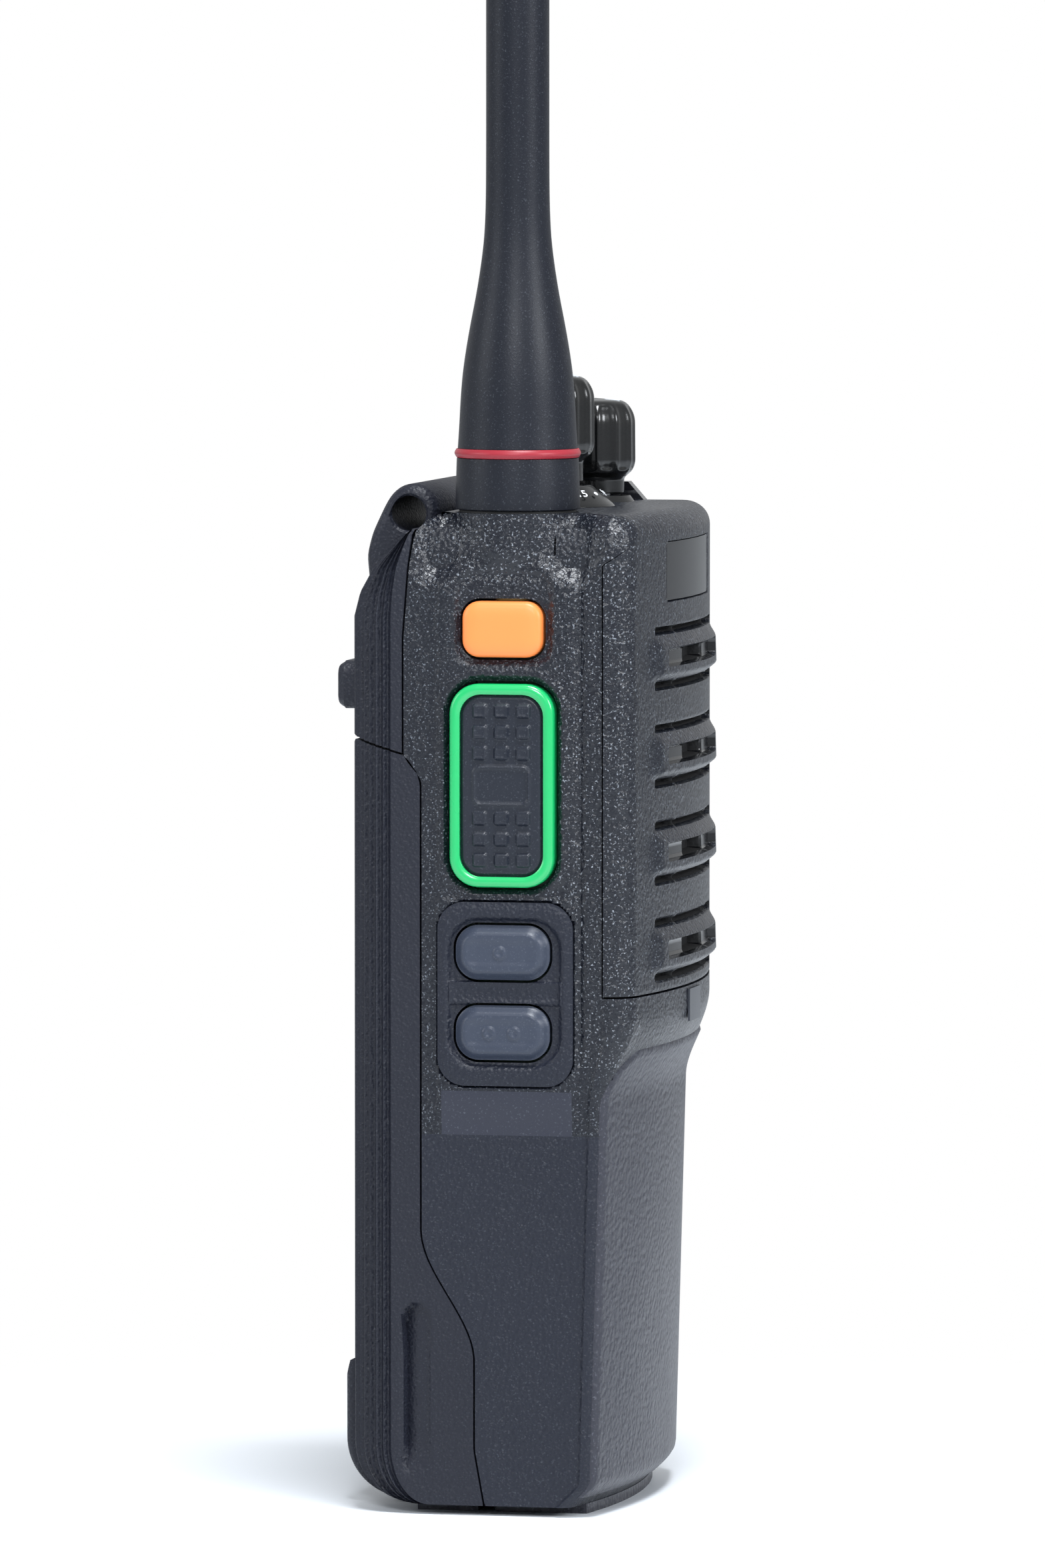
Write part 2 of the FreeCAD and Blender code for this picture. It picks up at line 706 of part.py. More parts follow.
pad_front = dim("foot_y") + 3.2
base_pad = new_body("base_pad")
pad(base_pad, "XY_Plane", 0, base_z,
    [(-21.5, lower_seam - 1.6), (-21.5, pad_front + 1.6), (21.5, pad_front + 1.6, 110, "left"),
     (21.5, lower_seam - 1.6)])
box("battery_foot", (-21.5, 21.5), (lower_seam + 0.7, 12.6), (0, base_z))

# Battery: case, inner lid, cells, board and contacts

case = new_body("battery_case")
case_round = dim("battery_round")
pad(case, "YZ_Plane", -half_width, half_width,
    [(back_y - case_round, base_z), (back_y, base_z + case_round, case_round, "left"),
     (back_y, battery_top - gap), (cover_seam, battery_top - 2.1 - gap),
     (12.5, battery_top - 2.9 - gap), (11.5, battery_top - 4.2 - gap)] + seam_path(gap))
round_edges(case, back_corner, lambda edge: (
    edge.BoundBox.YMin > back_y.value - 0.1 and edge.BoundBox.ZLength > 50))
pocket(case, "YZ_Plane", -inner_half - gap, inner_half + gap,
       rectangle(-10, battery_front, dim("battery_step_z"), bend_top + 2))
pad(case, "YZ_Plane", -inner_half + 0.6, inner_half - 0.6,
    rectangle(battery_front, battery_seam + 1.2, dim("battery_step_z") + 1.3, battery_top - 6.4))
CELL_HALF = 23.0
pocket(case, "XZ_Plane", battery_front - 1, back_y - wall + 0.2,
       rectangle(-CELL_HALF, CELL_HALF, 24, battery_top - 7))
hinge_round = 0.8
hinge_y = back_y - hinge_round
hinge_z = battery_top - gap - 1.0474
pocket(case, "YZ_Plane", -FAR, FAR,
       [(FAR, hinge_z), (back_y, hinge_z),
        (back_y - 1.0104, battery_top - gap - 0.2756, hinge_round, "left"),
        (back_y - 1.0104, battery_top + 3), (FAR, battery_top + 3)])
latch_half = dim("latch_half")
pocket(case, "YZ_Plane", -latch_half - 0.3, latch_half + 0.3,
       [(12.9, -5), (FAR, -5), (FAR, base_z + 7.9), (back_y, base_z + 7.9), (17.4, base_z + 4.7),
        (12.9, base_z + 4.5)])
pocket(case, "XZ_Plane", back_y - 0.5, back_y + 1, circles=[(x, 27, 2.0) for x in (-8, 0, 8)])
for side in (-1, 1):
    outer_x, floor_x = side * (half_width + 1), side * (half_width - 1.1)
    low_x, high_x = (floor_x, outer_x) if side > 0 else (outer_x, floor_x)
    pocket(case, "YZ_Plane", low_x, high_x,
           [(10.0, base_z + 3.0), (13.3, base_z + 3.0), (13.3, 25.6), (10.3, 25.6, 1.55, "left")])

box("battery_lid", (-CELL_HALF, CELL_HALF), (battery_front, battery_front + 1.3),
    (24, battery_top - 7))
group("battery_cells", [
    box("lower_cell", (-22, 22), (battery_front + 1.6, back_y - wall - 0.1), (25, 55.5)),
    box("upper_cell", (-22, 22), (battery_front + 1.6, back_y - wall - 0.1), (57, 87.5)),
])
box("battery_board", (-19, 19), (battery_front + 2.4, back_y - wall - 1.2), (89.2, 90.4))
CONTACT_X = (-9, -3, 3, 9)
group("battery_contacts", [
    box(f"battery_contact_{index}", (x - 1.3, x + 1.3), (battery_front - 0.2, battery_front),
        (83, 90)) for index, x in enumerate(CONTACT_X, 1)])
group("charging_contacts", [
    rod(f"charging_contact_{index}", "y", (x, 27), back_y - 0.5, back_y - 0.05, 1.95)
    for index, x in enumerate((-8, 0, 8), 1)])

# Battery latch: a paddle on the back that wraps under the rear edge

latch_y = dim("latch_y")
latch_top = dim("latch_top_z")
latch = new_body("battery_latch")
pad(latch, "YZ_Plane", -latch_half, latch_half,
    [(13.2, 0.6), (latch_y - 7.8, 0.6), (latch_y, 8.4, 7.8, "left"), (latch_y, latch_top - 3.0),
     (latch_y - 0.6, latch_top - 0.9), (back_y + 0.15, latch_top), (back_y + 0.15, 6.5),
     (17.5, 3.3), (13.2, 3.2)])
round_edges(latch, as_size(1.0), lambda edge: (
    abs(abs(edge.BoundBox.XMin) - latch_half.value) < 0.01 and edge.BoundBox.XLength < 0.01
    and edge.BoundBox.ZLength > 6 and edge.BoundBox.YMax > latch_y.value - 0.1))
spring_low = 3.5
spring = new_body("latch_spring")
pad(spring, "XZ_Plane", 14.2, 16.0,
    [(-4, 3.35), (4, 3.35), (4, 3.65), (-3.4, 3.65), (-3.4, 4.35), (4, 4.35), (4, 5.65),
     (-4, 5.65), (-4, 5.35), (3.4, 5.35), (3.4, 4.65), (-4, 4.65)])

# Chassis, gasket, boards and shields

chassis = new_body("chassis")
pad(chassis, "YZ_Plane", -inner_half + 0.3, inner_half - 0.3,
    [(2.2, base_z + 5.4), (lower_seam - 0.3, base_z + 5.4), (lower_seam - 0.3, 20.9),
     (battery_front - 0.25, 21.2), (battery_front - 0.25, battery_top - 3.3),
     (battery_front - 1.25, battery_top - 3.3), (battery_front - 1.25, 23.2), (2.2, 20.6)])
SCREWS = [(x, z) for x in (-18, 18) for z in (32, 92)]
pad(chassis, "XZ_Plane", 6.2, battery_front - 1.2, circles=[(x, z, 2.6) for x, z in SCREWS])
pocket(chassis, "XZ_Plane", 5, 12, circles=[(x, z, 0.95) for x, z in SCREWS])
pocket(chassis, "XZ_Plane", battery_front - 1.2, 12, circles=[(x, z, 1.9) for x, z in SCREWS])
pocket(chassis, "XZ_Plane", 8, 12, rectangle(-11.5, 11.5, 82.5, 90.5))
gasket_outer = box("gasket_outer", (-inner_half, inner_half),
                   (battery_front - 1.15, battery_front - 0.35), (23.4, battery_top - 3.0))
gasket_inner = box("gasket_inner", (-inner_half + 0.3, inner_half - 0.3),
                   (battery_front - 2, battery_front + 1), (22, battery_top - 3.3))
cut("housing_gasket", gasket_outer, [gasket_inner])
board = box("board_blank", (-20.8, 20.8), (5.0, 6.2), (24.5, 112))
board_holes = [rod(f"board_hole_{index}", "y", spot, 4, 7, 1.1) for index, spot in enumerate(SCREWS)]
cut("main_board", board, board_holes)
group("rf_shields", [
    box("receiver_shield", (-14, -1), (2.3, 5.0), (36, 60)),
    box("transmitter_shield", (1, 14), (2.3, 5.0), (36, 60)),
    box("logic_shield", (-14, 14), (2.3, 5.0), (62, 84)),
])
screws = []
for index, spot in enumerate(SCREWS, 1):
    shank = rod(f"screw_shank_{index}", "y", spot, 3.9, battery_front - 1.2, 0.95)
    head = rod(f"screw_head_{index}", "y", spot, battery_front - 1.2, battery_front - 0.3, 1.85)
    screws.append(fuse(f"housing_screw_{index}", [shank, head]))
group("housing_screws", screws)
group("radio_contacts", [
    box(f"radio_contact_{index}", (x - 1, x + 1), (6.2, battery_front - 0.25), (84, 89))
    for index, x in enumerate(CONTACT_X, 1)])

# Speaker and microphone

speaker_z = dim("speaker_z")
mesh = new_body("speaker_mesh")
pad(mesh, "XY_Plane", panel_low + 1.2, panel_top - 9.6,
    crescent(face_y + wall + 0.04, front_radius - wall - 0.04, as_size(19), as_size(0.3)))
speaker_frame = new_body("speaker_frame")
turn(speaker_frame, "XY_Plane",
     [(15.2, -15.5), (17.4, -15.5), (17.4, -14.2), (10.4, -9.6), (9.0, -9.6), (9.0, -10.4),
      (15.2, -14.6)])
move_to(speaker_frame, z=speaker_z)
cone = new_body("speaker_cone")
turn(cone, "XY_Plane",
     [(0, -13.2), (4.4, -12.0), (15.1, -15.3), (15.1, -15.0), (4.6, -11.6), (0, -12.8)])
move_to(cone, z=speaker_z)
rod("speaker_magnet", "y", (0, speaker_z), -9.6, -5.6, 9.0)
rod("microphone", "y", (8, 40), -10.6, -7.6, 3.0)
cut("microphone_boot", rod("boot_outer", "y", (8, 40), -10.2, -7.9, 4.2),
    [rod("boot_bore", "y", (8, 40), -11, -7, 3.0)])

# Side controls

talk_z, talk_width, talk_height, talk_corner = CONTROLS["talk"]
talk_rim = dim("talk_rim")
flange_x = -inner_half + 0.2
talk = new_body("talk_button")
pad(talk, "YZ_Plane", -half_width - 0.9, flange_x,
    rounded(button_y, talk_z, talk_width - 2 * talk_rim, talk_height - 2 * talk_rim,
            talk_corner - 1.2))
pad(talk, "YZ_Plane", flange_x, flange_x + 0.4, control_outline("talk", as_size(0.3)))
bars = [rounded(button_y, talk_z + offset, as_size(6.4), as_size(0.9), as_size(0.4))
        for offset in (-9.4, 3.9)]
raised = pad(talk, "YZ_Plane", -half_width - 1.2, -half_width - 0.8, *bars)
repeat(talk, [raised], "Z_Axis", 3, as_size(5.5))
rim = new_body("talk_rim")
rim_outer = control_outline("talk", as_size(0))
rim_inner = rounded(button_y, talk_z, talk_width - 2 * talk_rim, talk_height - 2 * talk_rim,
                    talk_corner - 1.2)
pad(rim, "YZ_Plane", -half_width - 0.7, flange_x, rim_outer, rim_inner)

alert = new_body("alert_button")
pad(alert, "YZ_Plane", -half_width - 0.6, flange_x, control_outline("alert", as_size(0)))
pad(alert, "YZ_Plane", flange_x, flange_x + 0.7, control_outline("alert", as_size(0.6)))
DOTS = {"upper_key": (0.25,), "lower_key": (-1.65, 1.65)}
for name, dots in DOTS.items():
    key = new_body(f"side_{name}")
    key_z = CONTROLS[name][0]
    pad(key, "YZ_Plane", -half_width - 0.75, flange_x, control_outline(name, as_size(0)))
    pad(key, "YZ_Plane", flange_x, flange_x + 0.7, control_outline(name, as_size(0.6)))
    pad(key, "YZ_Plane", -half_width - 1.0, -half_width - 0.7,
        circles=[(button_y + dot, key_z, 0.75) for dot in dots])

key_frame = new_body("key_frame")
pad_y = button_y - 0.4
pad(key_frame, "YZ_Plane", -half_width - 0.5, -half_width + 0.6,
    rounded(pad_y, dim("key_pad_z"), dim("key_pad_width") - 0.04, dim("key_pad_height") - 0.04,
            as_size(3.58)))
pocket(key_frame, "YZ_Plane", -half_width - 1, -half_width,
       rounded(pad_y, dim("key_pad_z") + 0.25, as_size(14.5), as_size(18.9), as_size(3.6)))
pad(key_frame, "YZ_Plane", -half_width - 0.4, -half_width + 0.1,
    rectangle(pad_y - 7.3, pad_y + 7.3, 66.4, 69.1))
for name in DOTS:
    pocket(key_frame, "YZ_Plane", -half_width - 2, -half_width + 2,
           control_outline(name, dim("button_gap")))

seal = new_body("side_seal")
pad(seal, "YZ_Plane", -inner_half, -inner_half + 0.45, rectangle(-8.8, 8.1, 55, 117.6))
for name, grow in (("talk", 0.6), ("alert", 0.95), ("upper_key", 0.95), ("lower_key", 0.95)):
    pocket(seal, "YZ_Plane", -inner_half - 1, -inner_half + 1, control_outline(name, as_size(grow)))
box("side_board", (-22.6, -21.8), (-7, 4.4), (56, 117.1))
SWITCHES = {"talk_low": 87, "talk_high": 102, "alert": 114.6, "upper": 72.95, "lower": 62.6}
group("side_switches", [
    box(f"{name}_switch", (-23.5, -22.6), (button_y - 2, button_y + 2), (z - 2, z + 2))
    for name, z in SWITCHES.items()])

# Antenna socket and the antenna that screws on to it

thread = dim("thread_radius")
socket = new_body("antenna_socket")
turn(socket, "XZ_Plane",
     [(0, top_z - 11.9), (5.4, top_z - 11.9), (5.4, top_z - 9.8), (thread, top_z - 9.8),
      (thread, top_z + 4.4), (0.55, top_z + 4.4), (0.55, top_z + 0.8), (0, top_z + 0.8)])
move_to(socket, antenna_x, antenna_y)
socket_nut = cut("socket_nut",
                 rod("nut_blank", "z", (antenna_x, antenna_y), top_z - 2.0, top_z - 0.3, 4.6),
                 [rod("nut_bore", "z", (antenna_x, antenna_y), top_z - 3, top_z + 1, thread)])
collar_z = dim("collar_z")
ring_z = dim("ring_z")
whip_z = dim("whip_z")
collar_radius = dim("collar_radius")
plug_radius = 5.0
antenna_seal = new_body("antenna_seal")
turn(antenna_seal, "XZ_Plane", rectangle(5.1, collar_radius - 0.5, top_z, collar_z))
move_to(antenna_seal, antenna_x, antenna_y)
plug = new_body("antenna_plug")
turn(plug, "XZ_Plane",
     [(thread + dim("fit_clearance"), top_z + 0.9), (plug_radius, top_z + 0.9),
      (plug_radius, ring_z), (0, ring_z), (0, top_z + 1.4), (0.5, top_z + 1.4),
      (0.5, top_z + 5.0), (thread + dim("fit_clearance"), top_z + 5.0)])
move_to(plug, antenna_x, antenna_y)
collar = new_body("antenna_collar")
turn(collar, "XZ_Plane",
     [(plug_radius, collar_z), (collar_radius, collar_z), (collar_radius - 0.15, ring_z),
      (plug_radius, ring_z)])
move_to(collar, antenna_x, antenna_y)
colour_ring = new_body("colour_ring")
turn(colour_ring, "XZ_Plane",
     [(5.6, ring_z), (collar_radius - 0.15, ring_z),
      (collar_radius - 0.15, whip_z, (whip_z - ring_z) / 2 + 0.05, "left"), (5.6, whip_z)])
move_to(colour_ring, antenna_x, antenna_y)
core = new_body("antenna_core")
tip_z = dim("antenna_tip_z")
turn(core, "XZ_Plane",
     [(0, ring_z), (5.6, ring_z), (5.6, whip_z + 2), (1.2, whip_z + 22), (1.2, tip_z - 6),
      (0, tip_z - 6)])
move_to(core, antenna_x, antenna_y)
whip_radius = dim("whip_radius")
whip = new_body("antenna_whip")
turn(whip, "XZ_Plane",
     [(5.6, whip_z), (collar_radius - 0.33, whip_z), (7.4, whip_z + 6.2),
      (6.85, whip_z + 12.0, 24, "left"), (5.33, whip_z + 19.9), (4.3, whip_z + 27.0),
      (whip_radius, whip_z + 33.4, 20, "right"), (whip_radius, tip_z - 2.6),
      (whip_radius - 2.6, tip_z, 2.6, "left"), (0, tip_z), (0, tip_z - 6), (1.2, tip_z - 6), (1.2, whip_z + 22),
      (5.6, whip_z + 2)])
move_to(whip, antenna_x, antenna_y)

# Rotary controls: switch bodies, shafts, dial rings and knobs

shaft_radius = dim("shaft_radius")
neck_radius = dim("neck_radius")
knob_radius = dim("knob_radius")
bushing = dim("bushing_radius")
clearance = dim("fit_clearance")
# Each control: node of the switch, neck bottom, body bottom and top of the knob
ROTARY = {
    "channel": ("channel_encoder", top_z + 3.2, top_z + 6.9, top_z + 17.2),
    "volume": ("volume_control", top_z + 1.1, top_z + 4.1, top_z + 13.6),
}
for name, (switch_name, neck_z, body_z, knob_top) in ROTARY.items():
    x, y = dim(f"{name}_x"), dim(f"{name}_y")
    case_block = box(f"{name}_case", (x - 5, x + 5), (y - 5, y + 5), (top_z - 10.9, top_z - 4.4))
    sleeve = rod(f"{name}_sleeve", "z", (x, y), top_z - 4.4, top_z + 0.8, bushing)
    hole = rod(f"{name}_hole", "z", (x, y), top_z - 9, top_z + 2, shaft_radius + clearance)
    cut(switch_name, fuse(f"{name}_switch_blank", [case_block, sleeve]), [hole])
    rod(f"{name}_shaft", "z", (x, y), top_z - 8.9, knob_top - 3, shaft_radius)
    knob = new_body(f"{name}_knob")
    flute_depth = 0.55
    turn(knob, "XZ_Plane",
         [(shaft_radius, neck_z), (neck_radius, neck_z), (neck_radius, body_z - 1.0),
          (knob_radius - 0.3, body_z), (knob_radius, body_z + 0.3), (knob_radius, knob_top - 2.2),
          (knob_radius - 1.6, knob_top - 0.5, 1.9, "left"), (0, knob_top), (0, knob_top - 3),
          (shaft_radius, knob_top - 3)])
    flute = pocket(knob, "XY_Plane", body_z - 2, knob_top - 1.0,
                   circles=[(knob_radius + 1.1 - flute_depth, 0, 1.1)])
    repeat(knob, [flute], "Z_Axis", dim("flute_count"), 360, "PolarPattern")
    move_to(knob, x, y)
dial = new_body("channel_dial")
turn(dial, "XZ_Plane",
     [(bushing + 0.2, top_z), (8.0, top_z), (4.9, top_z + 2.9), (bushing + 0.2, top_z + 2.9)])
move_to(dial, dim("channel_x"), dim("channel_y"))
volume_dial = new_body("volume_dial")
turn(volume_dial, "XZ_Plane",
     [(bushing + 0.2, top_z), (5.2, top_z), (4.6, top_z + 0.8), (bushing + 0.2, top_z + 0.8)])
move_to(volume_dial, dim("volume_x"), dim("volume_y"))
lens = new_body("status_lens")
pad(lens, "YZ_Plane", 22.4, 24.6,
    [(-8.5, top_z - 2.4), (-1.5, top_z - 2.4), (-1.5, top_z + 0.6), (-3.2, top_z + 2.4),
     (-6.2, top_z + 2.4), (-8.5, top_z - 0.2)])

# Accessory port with its hinged dust cover

port = box("accessory_port", (inner_half - 4.2, inner_half - 0.5), (-5, 3.8),
           (port_z - 8, port_z + 8))
group("port_contacts", [
    box(f"port_contact_{row}_{column}", (inner_half - 0.5, inner_half - 0.35),
        (-4.2 + column * 2.6, -2.6 + column * 2.6), (port_z - 6.9 + row * 2.8,
                                                     port_z - 5.3 + row * 2.8))
    for row in range(5) for column in range(3)])
cover_low, cover_high = port_z - port_height / 2, port_z + port_height / 2
dust_cover = new_body("dust_cover")
pad(dust_cover, "YZ_Plane", pin_x + 0.05, half_width - 0.05,
    rectangle(-5.8, pin_y, cover_low, cover_high))
pad(dust_cover, "XY_Plane", cover_low, cover_high, circles=[(pin_x, pin_y, 1.1)])
pocket(dust_cover, "XY_Plane", cover_low - 1, cover_high + 1,
       circles=[(pin_x, pin_y, dim("pin_radius") + clearance)])
rod("cover_pin", "z", (pin_x, pin_y), port_z - 11.2, port_z + 11.2, dim("pin_radius"))

doc.recompute()

NODES = [
    "front_housing", "grille_panel", "blank_nameplate", "grip_panel", "indicator_window",
    "rear_cover", "clip_inserts", "base_pad", "chassis", "housing_gasket", "housing_screws",
    "main_board", "rf_shields", "radio_contacts", "speaker_mesh", "speaker_frame",
    "speaker_cone", "speaker_magnet", "microphone", "microphone_boot", "side_seal",
    "side_board", "side_switches", "key_frame", "antenna_socket", "socket_nut",
    "channel_encoder", "volume_control", "channel_dial", "volume_dial", "status_lens",
    "accessory_port", "port_contacts", "cover_pin", "dust_cover", "talk_button", "talk_rim",
    "alert_button", "side_upper_key", "side_lower_key", "antenna_seal", "antenna_plug",
    "antenna_collar", "colour_ring", "antenna_core", "antenna_whip", "channel_shaft",
    "channel_knob", "volume_shaft", "volume_knob", "battery_case", "battery_lid",
    "battery_cells", "battery_board", "battery_contacts", "charging_contacts", "battery_foot",
    "battery_latch", "latch_spring",
]

failed = [item.Name for item in doc.Objects
          if "Invalid" in item.State or "Error" in item.State]
if failed:
    raise RuntimeError(f"objects that did not compute: {failed}")
os.makedirs("parts", exist_ok=True)
for node in NODES:
    found = doc.getObjectsByLabel(node)
    if len(found) != 1:
        raise RuntimeError(f"{node} names {len(found)} objects")
    shape = found[0].Shape
    if shape.isNull() or not shape.isValid() or not shape.Solids:
        raise RuntimeError(f"{node} has no valid solid")
    shape.exportStep(f"parts/{node}.step")
    print(f"{node}: {len(shape.Solids)} solids, {shape.Volume:.1f} mm3")
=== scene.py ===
"""Looks of a hand-held two way radio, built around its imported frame.

Every length in the classes below is in millimetres, in the frame of the part: +Z is up, the
speaker faces -Y, the talk button is on the -X side and the battery is on the +Y side. A mesh is
turned to metres when it is made.
"""
import logging
import math
from dataclasses import dataclass, field
from enum import Enum
from typing import Callable, Sequence

import bmesh
import bpy
import numpy as np
from mathutils import Matrix, Vector


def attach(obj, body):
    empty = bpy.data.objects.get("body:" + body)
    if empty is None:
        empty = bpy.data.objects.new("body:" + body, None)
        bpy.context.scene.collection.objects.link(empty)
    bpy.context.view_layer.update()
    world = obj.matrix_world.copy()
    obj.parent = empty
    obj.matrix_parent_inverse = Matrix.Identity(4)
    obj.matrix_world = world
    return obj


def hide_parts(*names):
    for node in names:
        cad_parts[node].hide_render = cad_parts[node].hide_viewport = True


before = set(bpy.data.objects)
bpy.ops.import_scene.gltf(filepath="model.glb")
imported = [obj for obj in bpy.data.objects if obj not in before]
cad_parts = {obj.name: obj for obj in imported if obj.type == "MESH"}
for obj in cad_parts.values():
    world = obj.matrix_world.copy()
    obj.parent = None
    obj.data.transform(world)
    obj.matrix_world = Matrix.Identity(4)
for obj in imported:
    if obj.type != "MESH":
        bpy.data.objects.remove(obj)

log = logging.getLogger("radio")
MM = 0.001
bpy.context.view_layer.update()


class Body(Enum):
    """The rigid bodies of the part, by the names that the frame gives them."""

    RADIO = "radio"
    BATTERY = "battery"
    LATCH = "latch"
    TALK = "talk_control"
    ALERT = "alert_control"
    UPPER_KEY = "upper_key"
    LOWER_KEY = "lower_key"
    CARRIER = "antenna_carrier"
    ANTENNA = "antenna"
    CHANNEL = "channel_selector"
    VOLUME = "volume_selector"
    PORT_COVER = "port_cover"


# Colour and material helpers


def linear(hex_colour: str) -> tuple[float, float, float, float]:
    """Turn an sRGB hex colour to linear light.

    Args:
        hex_colour: Six hex digits, without a mark in front.

    Returns:
        Red, green, blue and an alpha of 1.
    """
    values = [int(hex_colour[index:index + 2], 16) / 255 for index in (0, 2, 4)]
    red, green, blue = (v / 12.92 if v <= 0.04045 else ((v + 0.055) / 1.055) ** 2.4
                        for v in values)
    return red, green, blue, 1.0


def add_node(tree: bpy.types.NodeTree, kind: str, settings: dict | None = None,
             links: dict | None = None, **properties: object) -> bpy.types.Node:
    """Add a node with its socket values, its links and its properties.

    Args:
        tree: The node tree to add to.
        kind: The node's type.
        settings: Values for input sockets, by name or index.
        links: Output sockets to join to input sockets, by name or index.
        **properties: Attributes set on the node itself.

    Returns:
        The new node.
    """
    node = tree.nodes.new(kind)
    for name, value in properties.items():
        setattr(node, name, value)
    for name, value in (settings or {}).items():
        node.inputs[name].default_value = value
    for name, source in (links or {}).items():
        tree.links.new(source, node.inputs[name])
    return node


@dataclass(frozen=True)
class MouldedFinish:
    """A moulded, cast or turned surface with a grain that real moulds leave.

    Attributes:
        name: The real material and how it was made.
        colour: sRGB hex colour.
        roughness: Mean roughness.
        metallic: 1 for a metal.
        ior: Index of refraction.
        grain_mm: Width of one bump of the grain.
        depth_mm: Height of the grain.
        fine_mm: Width of the fine second grain.
        fine_depth_mm: Height of the fine grain.
        painted_sparkle: Share of painted sparkle, lighter dots for glints of light on the grain.
        wander: How much the colour drifts over centimetres.
        coat: Coat weight, for a polished skin.
        painted_glow: Emission strength of a painted glow that the piece gives off unlit.
        shine: Specular level, where 0.5 is a plain smooth plastic.
        sparkle_paint_hex: sRGB hex colour of the painted sparkle on the grain's tops.
    """

    name: str
    colour: str
    roughness: float = 0.5
    metallic: float = 0.0
    ior: float = 1.5
    grain_mm: float = 0.8
    depth_mm: float = 0.0
    fine_mm: float = 0.25
    fine_depth_mm: float = 0.0
    painted_sparkle: float = 0.0
    wander: float = 0.06
    coat: float = 0.0
    painted_glow: float = 0.0
    shine: float = 0.5
    sparkle_paint_hex: str = "aab2bd"

    def make(self) -> bpy.types.Material:
        """Build the node material of this finish.

        Returns:
            The material, made once for each name.
        """
        known = bpy.data.materials.get(self.name)
        if known:
            return known
        material = bpy.data.materials.new(self.name)
        material.use_nodes = True
        tree = material.node_tree
        shader = tree.nodes["Principled BSDF"]
        place = add_node(tree, "ShaderNodeTexCoord").outputs["Object"]
        drift = add_node(tree, "ShaderNodeTexNoise", {"Scale": 1 / (22 * MM), "Detail": 3.0},
                         {"Vector": place})
        grain = add_node(tree, "ShaderNodeTexVoronoi", {"Scale": 1 / (self.grain_mm * MM)},
                         {"Vector": place}, feature="SMOOTH_F1")
        fine = add_node(tree, "ShaderNodeTexNoise",
                        {"Scale": 1 / (self.fine_mm * MM), "Detail": 2.0}, {"Vector": place})
        base = linear(self.colour)
        dark = tuple(value * (1 - self.wander) for value in base[:3]) + (1.0,)
        light = tuple(min(value * (1 + self.wander), 1.0) for value in base[:3]) + (1.0,)
        colour = add_node(tree, "ShaderNodeMix", {6: dark, 7: light},
                          {"Factor": drift.outputs["Fac"]}, data_type="RGBA").outputs[2]
        # Painted sparkle: lighter dots on the fine grain's tops stand in for glints of light
        if self.painted_sparkle:
            painted_sparkle_share = add_node(tree, "ShaderNodeMapRange",
                            {"From Min": 0.6, "From Max": 0.74, "To Max": self.painted_sparkle},
                            {"Value": fine.outputs["Fac"]})
            colour = add_node(tree, "ShaderNodeMix", {7: linear(self.sparkle_paint_hex)},
                              {"Factor": painted_sparkle_share.outputs[0], 6: colour},
                              data_type="RGBA").outputs[2]
        tree.links.new(colour, shader.inputs["Base Color"])
        rough = add_node(tree, "ShaderNodeMapRange",
                         {"To Min": max(self.roughness - 0.08, 0.02),
                          "To Max": min(self.roughness + 0.08, 1.0)},
                         {"Value": drift.outputs["Fac"]})
        tree.links.new(rough.outputs[0], shader.inputs["Roughness"])
        shader.inputs["Metallic"].default_value = self.metallic
        shader.inputs["Specular IOR Level"].default_value = self.shine
        if not self.metallic:
            shader.inputs["IOR"].default_value = self.ior
        shader.inputs["Coat Weight"].default_value = self.coat
        shader.inputs["Coat Roughness"].default_value = 0.12
        # Painted glow: the piece emits its own colour, though it is no lamp
        if self.painted_glow:
            shader.inputs["Emission Color"].default_value = base
            shader.inputs["Emission Strength"].default_value = self.painted_glow
        normal = None
        if self.depth_mm:
            coarse = add_node(tree, "ShaderNodeBump",
                              {"Strength": 1.0, "Distance": self.depth_mm * MM},
                              {"Height": grain.outputs["Distance"]}, invert=True)
            normal = coarse.outputs[0]
        if self.fine_depth_mm:
            links = {"Height": fine.outputs["Fac"]}
            if normal:
                links["Normal"] = normal
            small = add_node(tree, "ShaderNodeBump",
                             {"Strength": 1.0, "Distance": self.fine_depth_mm * MM}, links)
            normal = small.outputs[0]
        if normal:
            tree.links.new(normal, shader.inputs["Normal"])
        return material


# Injection moulded polycarbonate blend, spark eroded mould: black, with a coarse grain that glints
# and painted sparkle
SPARK_ERODED = MouldedFinish("spark_eroded_polycarbonate_housing", "10131b", 0.33, grain_mm=0.55,
                             depth_mm=0.16, fine_mm=0.27, fine_depth_mm=0.06, painted_sparkle=0.34,
                             shine=0.32)
# The same plastic from a finer etched part of the mould: quieter, slightly lighter
ETCHED = MouldedFinish("etched_polycarbonate_side", "181b25", 0.42, grain_mm=0.45, depth_mm=0.14,
                       fine_mm=0.25, fine_depth_mm=0.04, painted_sparkle=0.06, shine=0.26)
# Spark eroded more deeply along the edges: the same plastic, brighter painted sparkle where lit
ERODED_EDGE_PAINTED_SPARKLE = MouldedFinish("spark_eroded_polycarbonate_edge_painted_sparkle", "0f121a", 0.28, grain_mm=0.6,
                            depth_mm=0.18, fine_mm=0.3, fine_depth_mm=0.07, painted_sparkle=0.42,
                            shine=0.36, sparkle_paint_hex="c3cad4")
# Same plastic, etched finely for the battery: a dry, even grey
BATTERY_SHELL = MouldedFinish("etched_polycarbonate_battery_shell", "191b24", 0.46,
                              grain_mm=0.42, depth_mm=0.12, fine_mm=0.24, fine_depth_mm=0.03,
                              painted_sparkle=0.05, shine=0.25)
